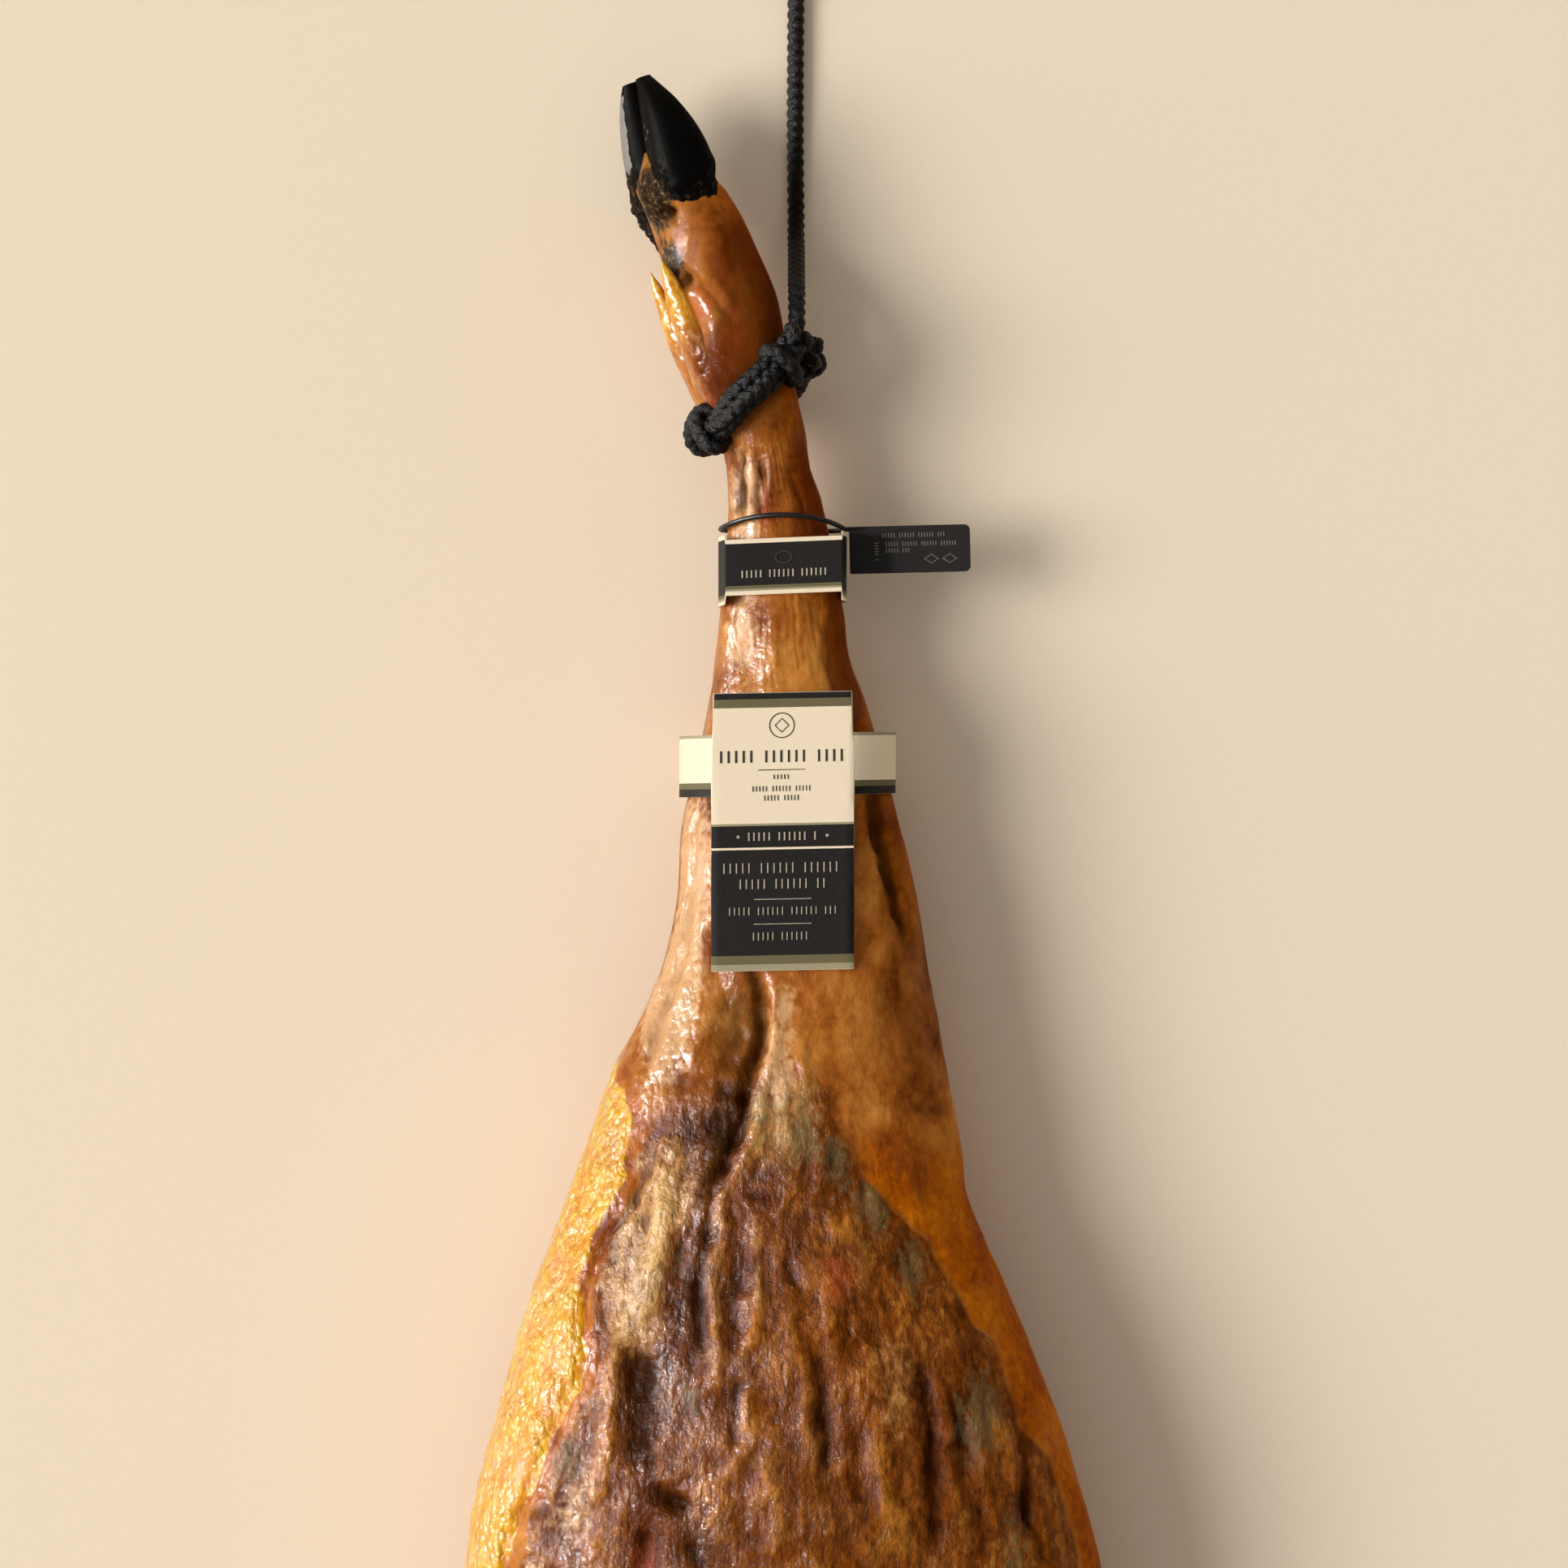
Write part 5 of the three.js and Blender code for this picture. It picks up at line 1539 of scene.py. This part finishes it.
@dataclass(frozen=True)
class Print:
    """One ornament: its middle across, its distance under the upper edge, and its size."""

    mark: Mark
    across: float
    down: float
    size: tuple[float, float]
    line: float = 0.42

    def outlines(self) -> list[np.ndarray]:
        """Gives the ornament's closed outlines, as points across and down from its middle.

        Returns:
            One array of corners for each outline. A ring's or lozenge's line is made of short
            four-cornered lengths.
        """
        w, h = self.size[0] / 2, self.size[1] / 2

        def block(x: float, y: float, a: float, b: float) -> np.ndarray:
            """Gives a block's corners from its middle and half sizes."""
            return np.array([(x - a, y - b), (x + a, y - b), (x + a, y + b), (x - a, y + b)])

        if self.mark is Mark.RULE:
            return [block(0, 0, w, h)]
        if self.mark in (Mark.TICKS, Mark.UPRIGHT):
            turned = self.mark is Mark.UPRIGHT
            length, half = (h, w) if turned else (w, h)
            pitch = max(0.62 * half * 2, 3.0 * self.line)
            spots = np.arange(-length + self.line, length, pitch)
            kept = [s for i, s in enumerate(spots) if i % 7 != 5]
            ticks = [block(s, 0, self.line / 2, half) for s in kept]
            return [t[:, ::-1] for t in ticks] if turned else ticks
        if self.mark is Mark.DOTS:
            turn = turns(16)
            dot = np.stack([h * np.cos(turn), h * np.sin(turn)], axis=1)
            return [dot + [-w, 0.0], dot + [w, 0.0]]
        count = 4 if self.mark is Mark.LOZENGE else 40
        turn = np.linspace(0, 2 * math.pi, count + 1)
        outer = np.stack([w * np.cos(turn), h * np.sin(turn)], axis=1)
        inner = outer * (1 - self.line / min(w, h))
        return [np.array([outer[i], outer[i + 1], inner[i + 1], inner[i]]) for i in range(count)]


@dataclass
class WrapCard:
    """A printed card with a flat panel in front and arms that go round under the leg."""

    name: str
    shape: LegShape
    finish: CardFinish
    panel: tuple[float, float]
    panel_from_toes: tuple[float, float]
    arms_from_toes: tuple[float, float]
    gaps: tuple[float, float, float, float]  # left, right, under and over the leg
    rise: float
    card: float = 0.6
    corner: float = 0.5
    bow: float = 0.14
    bow_size: float = 24.0
    ink_under: float = 0.1
    ink_over: float = 0.22
    crease_angle: float = math.radians(35)
    panel_columns: int = 40
    arm_columns: int = 150
    rows: int = 24
    leg_points: int = 96
    height_checks: int = 21

    def height(self, y: np.ndarray) -> np.ndarray:
        """Gives the flat panel's height: straight from edge to edge, and clear of the leg."""
        top, bottom = (self.shape.toes_y - far for far in self.panel_from_toes)

        def clear(at: np.ndarray) -> np.ndarray:
            """Gives the lowest height that clears the leg."""
            _, z, _, up, _ = self.shape.section(np.asarray(at, dtype=float))
            return z + up + self.gaps[3]

        def straight(at: np.ndarray) -> np.ndarray:
            """Gives the line between the panel's two edges."""
            return clear(bottom) + (clear(top) - clear(bottom)) * (at - bottom) / (top - bottom)

        over = np.linspace(bottom, top, self.height_checks)
        return straight(y) + float(np.max(clear(over) - straight(over)))

    def outline(self, y: float) -> tuple[np.ndarray, np.ndarray]:
        """Gives the card's line round the leg at y.

        The line is the shortest one round the panel's two edges and the leg's section at the
        arms' lower edge: the corners of their convex outline, spaced evenly.

        Args:
            y: The place along the leg.

        Returns:
            Points of x and z from the panel's left edge round to it again, and which of them are
            on the panel.
        """
        z_panel = float(self.height(np.array(y)))
        left, right = self.panel
        x, z, half, up, down = (
            float(v) for v in self.shape.section(np.array(self.shape.toes_y - self.arms_from_toes[1]))
        )
        g_left, g_right, g_under, g_over = self.gaps
        angle = turns(self.leg_points)
        wide, high = rounded(angle, self.shape.fullness)
        ring_x = x + (g_right - g_left) / 2 + (half + (g_left + g_right) / 2) * wide
        tall = np.where(np.sin(angle) > 0, up + g_over, down + g_under)
        ring_z = np.minimum(z + tall * high, z_panel)
        spots = sorted({*zip(ring_x.tolist(), ring_z.tolist()), (left, z_panel), (right, z_panel)})

        def chain(line: list) -> list:
            """Keeps the corners that turn left along a sorted line."""
            kept: list = []
            for p in line:
                while len(kept) > 1 and (
                    (kept[-1][0] - kept[-2][0]) * (p[1] - kept[-2][1])
                    - (kept[-1][1] - kept[-2][1]) * (p[0] - kept[-2][0])
                ) <= 1e-9:
                    kept.pop()
                kept.append(p)
            return kept[:-1]

        corners = chain(spots) + chain(spots[::-1])
        arms = [p for p in corners if p[1] < z_panel - 1e-6 or not left <= p[0] <= right]
        first = max((i for i, p in enumerate(arms) if p[0] > x), key=lambda i: arms[i][1])
        order = [arms[(first - i) % len(arms)] for i in range(len(arms))]
        line = np.array([(right, z_panel), *order, (left, z_panel)])
        run = distances(line)
        at = np.linspace(self.corner, run[-1] - self.corner, self.arm_columns)
        around = np.column_stack([np.interp(at, run, line[:, 0]), np.interp(at, run, line[:, 1])])
        across = np.linspace(left, right, self.panel_columns)
        panel = np.column_stack([across, np.full(self.panel_columns, z_panel)])
        line = np.vstack([panel, around])
        return line, np.arange(len(line)) < self.panel_columns

    def build(self) -> bpy.types.Object:
        """Makes the card: its line carried along the leg, with an inner and an outer side.

        The printed side stops a hair before each cut edge, so that the edge shows the bare card.

        Returns:
            The object.
        """
        share = np.concatenate([[0.0, 0.003], np.linspace(0.02, 0.98, self.rows), [0.997, 1.0]])
        ends = self.shape.toes_y - np.array([self.panel_from_toes, self.arms_from_toes])
        tops, bottoms = ends.T
        at_top, on_panel = self.outline(tops[0])
        at_bottom, _ = self.outline(bottoms[0])
        side = np.where(on_panel, 0, 1)
        high, low = tops[side], bottoms[side]
        y = high[:, None] + (low - high)[:, None] * share
        whole = (y - bottoms[0]) / (tops[0] - bottoms[0])
        x = at_bottom[:, :1] + (at_top - at_bottom)[:, :1] * whole
        z = at_bottom[:, 1:] + (at_top - at_bottom)[:, 1:] * whole
        dx = np.roll(x, -1, axis=0) - np.roll(x, 1, axis=0)
        dz = np.roll(z, -1, axis=0) - np.roll(z, 1, axis=0)
        size = np.hypot(dx, dz)
        out = np.stack([-dz / size, 0 * y, dx / size], axis=-1)
        inner = np.stack([x, y + self.rise * x, z], axis=-1)
        bow = self.bow * Noise(53).at(inner / self.bow_size)[..., None] * out
        outer = inner + self.card * out + bow
        rings = np.concatenate([inner, outer[:, ::-1]], axis=1)
        points, faces = shell(rings, ring=True)
        thing = make_object(self.name, points, faces)
        thing.data.set_sharp_from_angle(angle=self.crease_angle)
        n = len(share)
        inside = np.zeros((len(side), 2 * n))
        inside[:, :n] = 1.0
        inside[:, [n, 2 * n - 1]] = 1.0
        down = np.concatenate([share, share[::-1]])
        set_values(thing, "inside", inside)
        set_values(thing, "from_top", np.broadcast_to(down, inside.shape).copy())
        set_values(thing, "on_panel", np.broadcast_to((side == 0)[:, None] * 1.0, inside.shape).copy())
        return thing

    def inlays(self, name: str, prints: tuple[Print, ...]) -> bpy.types.Object:
        """Makes printed ornaments as thin raised inlays on the panel.

        Args:
            name: The object's name.
            prints: What to print.

        Returns:
            One object that holds every ornament.
        """
        top = self.shape.toes_y - self.panel_from_toes[0]
        shells = []
        for item in prints:
            for flat in item.outlines():
                x = item.across + flat[:, 0]
                y = top + self.rise * x - item.down - flat[:, 1]
                z = self.height(y - self.rise * x) + self.card
                ring = np.column_stack([x, y, z])
                shells.append(prism(ring - [0, 0, self.ink_under], ring + [0, 0, self.ink_over]))
        points, faces = merged(shells)
        return make_object(name, points, faces, smooth_faces=False)


@dataclass
class QualitySeal:
    """The moulded seal: a round strap over the shank band and a flat flag beside it."""

    shape: LegShape
    band: WrapCard
    strap: float = 2.2
    strap_gap: float = 0.5
    lift: float = 5.0
    slack: float = 1.6
    length: float = 52.5
    height: float = 20.5
    thickness: float = 1.2
    corner: float = 2.5
    gap: float = 1.0
    rise: float = 0.024
    neck: float = 2.0
    bevel: float = 0.28
    ink: float = 0.12
    ink_under: float = 0.05
    strap_points: int = 240
    strap_sides: int = 20
    strap_step: float = 0.8

    def frame(self) -> dict[str, float]:
        """Works out where the strap's sides and the flag's corner are, from the band."""
        band_top = self.shape.toes_y - self.band.arms_from_toes[0]
        xs = self.band.outline(band_top)[0][:, 0]
        left, right = xs.min() - self.band.card, xs.max() + self.band.card
        radius = self.strap / 2
        side_y = band_top + self.band.rise * right + self.strap_gap + radius
        _, z, _, up, down = (float(v) for v in self.shape.section(np.array(side_y)))
        away = self.slack + radius
        return {
            "left": left, "right": right, "radius": radius, "y": side_y,
            "low": z - down - away, "high": z + up + away,
        }

    def ring(self) -> Shell:
        """Makes the strap: a tube along a rounded loop that rises towards the toes in front."""
        f = self.frame()
        angle = turns(self.strap_points)
        wide, tall = rounded(angle, self.shape.fullness)
        x = (f["left"] + f["right"]) / 2 + ((f["right"] - f["left"]) / 2 - f["radius"]) * wide
        z = (f["low"] + f["high"]) / 2 + (f["high"] - f["low"]) / 2 * tall
        y = f["y"] + self.lift * np.maximum(np.sin(angle), 0) ** 2
        path = spread(np.stack([x, y, z], axis=-1)[::4], self.strap_step, ring=True)
        turn = turns(self.strap_sides)
        circle = f["radius"] * np.stack([np.cos(turn), np.sin(turn)], axis=-1)
        section = np.broadcast_to(circle, (len(path), self.strap_sides, 2))
        return shell(tube(path, np.tile([0.0, 1.0, 0.0], (len(path), 1)), section, True), ring=True)

    def corner_x(self) -> float:
        """Gives the x of the flag's left edge."""
        return self.frame()["right"] + self.gap

    def plate(self) -> Shell:
        """Makes the flag with its neck: a rounded outline with a small slanted edge all round."""
        f = self.frame()
        w, h, r = self.length, self.height, self.corner
        neck = self.gap + f["radius"]
        turn = np.linspace(0.0, math.pi / 2, 8)

        def round_corner(x: float, y: float, start: float) -> np.ndarray:
            """Gives a quarter circle's points about a middle."""
            return np.column_stack([x + r * np.cos(turn + start), y + r * np.sin(turn + start)])

        flat = np.vstack([
            [(-neck, 0.0), (-neck, -self.neck), (0.0, -self.neck), (0.0, -h + 0.5), (0.5, -h)],
            round_corner(w - r, r - h, -math.pi / 2), round_corner(w - r, -r, 0.0),
        ])
        ahead = np.roll(flat, -1, axis=0) - np.roll(flat, 1, axis=0)
        out = unit(np.column_stack([ahead[:, 1], -ahead[:, 0]]))
        rings = []
        for inset, z in ((1.0, 0.0), (0.0, 1.0), (0.0, -1.0), (1.0, 0.0)):
            level = self.thickness / 2 * (1 if len(rings) < 2 else -1)
            level -= z * self.bevel
            rings.append(np.column_stack([flat - out * inset * self.bevel, np.full(len(flat), level)]))
        points, count = self.placed(np.array(rings).reshape(-1, 3)), len(flat)
        faces = grid_faces(4, count, False).tolist()
        faces += [list(range(count))[::-1], list(range(3 * count, 4 * count))]
        return points, faces

    def placed(self, flat: np.ndarray) -> np.ndarray:
        """Turns points in the flag's own plane by its rise and puts them beside the band."""
        f = self.frame()
        lean = math.atan(self.rise)
        x = flat[:, 0] * math.cos(lean) - flat[:, 1] * math.sin(lean)
        y = flat[:, 0] * math.sin(lean) + flat[:, 1] * math.cos(lean)
        middle = (f["low"] + f["high"]) / 2
        return np.column_stack([self.corner_x() + x, f["y"] + self.neck / 2 + y, middle + flat[:, 2]])

    def build(self) -> bpy.types.Object:
        """Makes the strap and the flag as one object."""
        points, faces = merged([self.ring(), self.plate()])
        thing = make_object("seal", points, faces)
        thing.data.set_sharp_from_angle(angle=math.radians(30))
        return thing

    def inlays(self, prints: tuple[Print, ...]) -> bpy.types.Object:
        """Makes the flag's printed ornaments as thin raised inlays."""
        shells = []
        for item in prints:
            for flat in item.outlines():
                x, y = item.across + flat[:, 0], -item.down - flat[:, 1]
                low = np.column_stack([x, y, np.full(len(flat), self.thickness / 2 - self.ink_under)])
                shells.append(prism(self.placed(low), self.placed(low + [0, 0, self.ink])))
        points, faces = merged(shells)
        return make_object("seal_print", points, faces, smooth_faces=False)


LABEL_DARK = (
    Print(Mark.RING, -3.2, 14.2, (11.0, 11.0), 0.45), Print(Mark.LOZENGE, -3.2, 14.2, (6.4, 6.4), 0.5),
    Print(Mark.TICKS, -3.2, 27.4, (54.0, 5.2), 0.95), Print(Mark.RULE, -3.2, 33.2, (20.0, 0.35)),
    Print(Mark.TICKS, -3.2, 36.2, (7.6, 2.0), 0.5), Print(Mark.TICKS, -3.2, 41.2, (25.6, 2.3), 0.42),
    Print(Mark.TICKS, -3.2, 45.2, (15.6, 2.3), 0.42),
)
LABEL_LIGHT = (
    Print(Mark.TICKS, -2.9, 61.6, (30.0, 3.5), 0.6), Print(Mark.DOTS, -2.9, 61.6, (38.0, 1.3)),
    Print(Mark.TICKS, -2.9, 75.0, (51.0, 4.3), 0.5), Print(Mark.TICKS, -2.9, 81.8, (37.0, 4.1), 0.5),
    Print(Mark.RULE, -2.9, 88.3, (24.5, 0.32)), Print(Mark.TICKS, -2.9, 93.3, (46.0, 3.3), 0.42),
    Print(Mark.RULE, -2.9, 98.8, (24.5, 0.32)), Print(Mark.TICKS, -2.9, 104.0, (25.6, 3.3), 0.42),
)
BAND_LIGHT = (Print(Mark.TICKS, -2.4, 15.2, (37.0, 3.2), 0.62),)
BAND_DARK = (Print(Mark.RING, -2.4, 8.4, (7.6, 5.6), 0.5),)
FLAG_PRINT = (
    Print(Mark.TICKS, 27.8, 4.1, (27.0, 1.9), 0.4), Print(Mark.TICKS, 31.6, 7.9, (32.0, 1.9), 0.4),
    Print(Mark.TICKS, 20.9, 10.7, (10.4, 1.9), 0.4), Print(Mark.UPRIGHT, 11.8, 11.3, (1.9, 8.6), 0.4),
    Print(Mark.LOZENGE, 35.5, 14.6, (6.5, 4.2), 0.35), Print(Mark.LOZENGE, 43.5, 14.6, (6.5, 4.2), 0.35),
)
LABEL_CARD = CardFinish(
    "label_card",
    panel=((0.0, INK), (0.021, MOSS), (0.053, CREAM), (0.471, STONE), (0.480, INK), (0.557, CREAM),
           (0.563, INK), (0.942, MOSS), (0.973, STONE)),
    arms=((0.0, STONE), (0.05, CREAM), (0.77, MOSS), (0.87, INK)),
)
BAND_CARD = CardFinish(
    "band_card",
    panel=((0.0, CREAM), (0.075, INK), (0.83, MOSS), (0.89, STONE), (0.925, CREAM)),
    arms=((0.0, CREAM), (0.06, INK), (0.86, MOSS), (0.91, STONE), (0.945, CREAM)),
)


# ------------------------------------------------------------------ the studio
@dataclass(frozen=True)
class Studio:
    """The camera straight above, a cream table, and warm light from the left, some for glints only."""

    camera_at: tuple[float, float, float] = (-0.0023, 0.0894, 2.26)
    lens: float = 117.1
    table: Colour = (0.85, 0.74, 0.60)
    table_half: float = 6000.0
    table_drop: float = 0.05
    sky: Colour = (1.0, 0.93, 0.83)
    sky_strength: float = 0.27

    def camera(self) -> None:
        """Puts the camera over the ham, looking down with the toes at the top."""
        data = bpy.data.cameras.new("camera")
        data.lens, data.sensor_width = self.lens, 36.0
        thing = bpy.data.objects.new("camera", data)
        thing.location = self.camera_at
        bpy.context.scene.collection.objects.link(thing)
        bpy.context.scene.camera = thing

    def area(self, name: str, at: tuple[float, float, float], aim: tuple[float, float, float],
             size: tuple[float, float], power: float, colour: Colour) -> None:
        """Adds a rectangular light that looks from one point at another."""
        data = bpy.data.lights.new(name, "AREA")
        data.shape, data.size, data.size_y, data.energy, data.color = "RECTANGLE", *size, power, colour
        thing = bpy.data.objects.new(name, data)
        thing.location = at
        thing.visible_glossy = False
        way = np.array(aim) - np.array(at)
        flat = math.hypot(way[0], way[1])
        thing.rotation_euler = (math.atan2(flat, -way[2]), 0.0, math.atan2(way[1], way[0]) - math.pi / 2)
        bpy.context.scene.collection.objects.link(thing)

    def sun(self, name: str, azimuth: float, height: float, softness: float, power: float, colour: Colour,
            seen_in: str = "matt") -> None:
        """Adds an even light from a compass angle and a height in degrees.

        Args:
            name: The light's name.
            azimuth: The compass angle.
            height: The angle above the table.
            softness: How wide the light looks, in degrees.
            power: Its strength.
            colour: Its colour.
            seen_in: Whether it lights matt surfaces or shows as a glint in wet ones.
        """
        data = bpy.data.lights.new(name, "SUN")
        data.angle, data.energy, data.color = math.radians(softness), power, colour
        thing = bpy.data.objects.new(name, data)
        thing.rotation_euler = (0.0, math.radians(90.0 - height), math.radians(azimuth))
        thing.visible_diffuse = seen_in == "matt"
        thing.visible_glossy = seen_in == "gloss"
        bpy.context.scene.collection.objects.link(thing)

    def build(self) -> None:
        """Makes the table, the lights and the surroundings."""
        corners = ((-1, -1), (1, -1), (1, 1), (-1, 1))
        points = np.array([(x * self.table_half, y * self.table_half, -self.table_drop) for x, y in corners])
        table = make_object("table", points, [[0, 1, 2, 3]])
        paint = PlainFinish("table", self.table, 0.9, grain=400.0, change=0.004, depth=0.02, shine=0.0)
        table.data.materials.append(paint.build())
        self.sun("key", 180.0, 42.0, 32.0, 2.5, (1.0, 0.96, 0.90))
        self.sun("top", 180.0, 84.0, 80.0, 0.35, (1.0, 0.95, 0.88))
        self.sun("glint", 178.0, 46.0, 6.0, 5.0, (1.0, 0.97, 0.92), seen_in="gloss")
        self.sun("low_glint", 174.0, 14.0, 7.0, 9.0, (1.0, 0.97, 0.92), seen_in="gloss")
        self.sun("sheen", 183.0, 40.0, 16.0, 0.5, (1.0, 0.95, 0.88), seen_in="gloss")
        self.area("side", (-2.2, 0.1, 0.9), (0.0, 0.0, 0.05), (0.7, 1.6), 12.0, (1.0, 0.93, 0.82))
        world = bpy.data.worlds.new("surroundings")
        world.use_nodes = True
        sky = world.node_tree.nodes["Background"]
        sky.inputs[0].default_value = (*self.sky, 1.0)
        sky.inputs[1].default_value = self.sky_strength
        bpy.context.scene.world = world
        bpy.context.scene.view_settings.view_transform = "Standard"


# ------------------------------------------------------------------ the whole
def dress(thing: bpy.types.Object, material: bpy.types.Material, node: str) -> None:
    """Gives a piece its material, hangs it on the root and hides the fixed frame's node that it stands for.

    Args:
        thing: The piece.
        material: The piece's material.
        node: The fixed frame's node that it stands for.
    """
    thing.data.materials.append(material)
    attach(thing, ROOT)
    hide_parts(node)
    LOG.info("%s: %d faces", thing.name, len(thing.data.polygons))


def main() -> None:
    """Builds the whole scene on the fixed frame."""
    logging.basicConfig(level=logging.INFO, format="%(name)s %(message)s")
    studio = Studio()
    studio.camera()
    low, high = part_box("ham")
    shape = LegShape(length=HAM_LENGTH, width=(high[0] - low[0]) / MM, thickness=(high[2] - low[2]) / MM)

    rope = Rope(shape)
    cord_finish = RopeFinish().build()
    lead, route = rope.lead()
    noose, eye = rope.noose(), rope.eye()
    dress(lead, cord_finish, "rope_lead")
    dress(noose, cord_finish, "rope_noose")
    dress(eye, cord_finish, "rope_eye")

    cured = CuredFinish().build()
    horn = HornFinish().build()
    dress(HamSurface(shape).build(), cured, "ham")
    claws = Claws(shape)
    dress(claws.build("upper_claw", 1.0), horn, "ham")
    dress(claws.build("lower_claw", -1.0), horn, "ham")
    for dewclaw in (
        Dewclaw("near_dewclaw", (-26, 254, 51), (-55, 315, 61), 11.0),
        Dewclaw("far_dewclaw", (-30, 250, 34), (-60.5, 312, 40), 8.6),
    ):
        dress(dewclaw.build(), cured, "ham")

    band = WrapCard(
        "band", shape, BAND_CARD, panel=(-27.2, 22.4), panel_from_toes=(200, 224.2),
        arms_from_toes=(198, 228), gaps=(0.6, 1.3, 1.0, 1.0), rise=0.04,
    )
    label = WrapCard(
        "label", shape, LABEL_CARD, panel=(-32.7, 26.9), panel_from_toes=(266.7, 385.3),
        arms_from_toes=(284.5, 311), gaps=(3.5, 1.0, 1.0, 1.0), rise=0.02,
    )
    dark_ink = PlainFinish("dark_ink", (0.030, 0.024, 0.021), 0.5).build()
    light_ink = PlainFinish("light_ink", (0.56, 0.49, 0.38), 0.5).build()
    dress(band.build(), band.finish.build(), "shank_band")
    dress(label.build(), label.finish.build(), "front_label")
    dress(label.inlays("label_dark_print", LABEL_DARK), dark_ink, "front_label")
    dress(label.inlays("label_light_print", LABEL_LIGHT), light_ink, "front_label")
    dress(band.inlays("band_light_print", BAND_LIGHT), light_ink, "shank_band")
    dress(band.inlays("band_dark_print", BAND_DARK), dark_ink, "shank_band")
    seal = QualitySeal(shape, band)
    plastic = PlainFinish("seal_plastic", (0.012, 0.010, 0.010), 0.42, 700.0, 0.1, 0.12).build()
    grey_ink = PlainFinish("grey_ink", (0.20, 0.19, 0.175), 0.55).build()
    dress(seal.build(), plastic, "quality_seal")
    dress(seal.inlays(FLAG_PRINT), grey_ink, "quality_seal")

    studio.build()


if __name__ == "__main__":
    main()
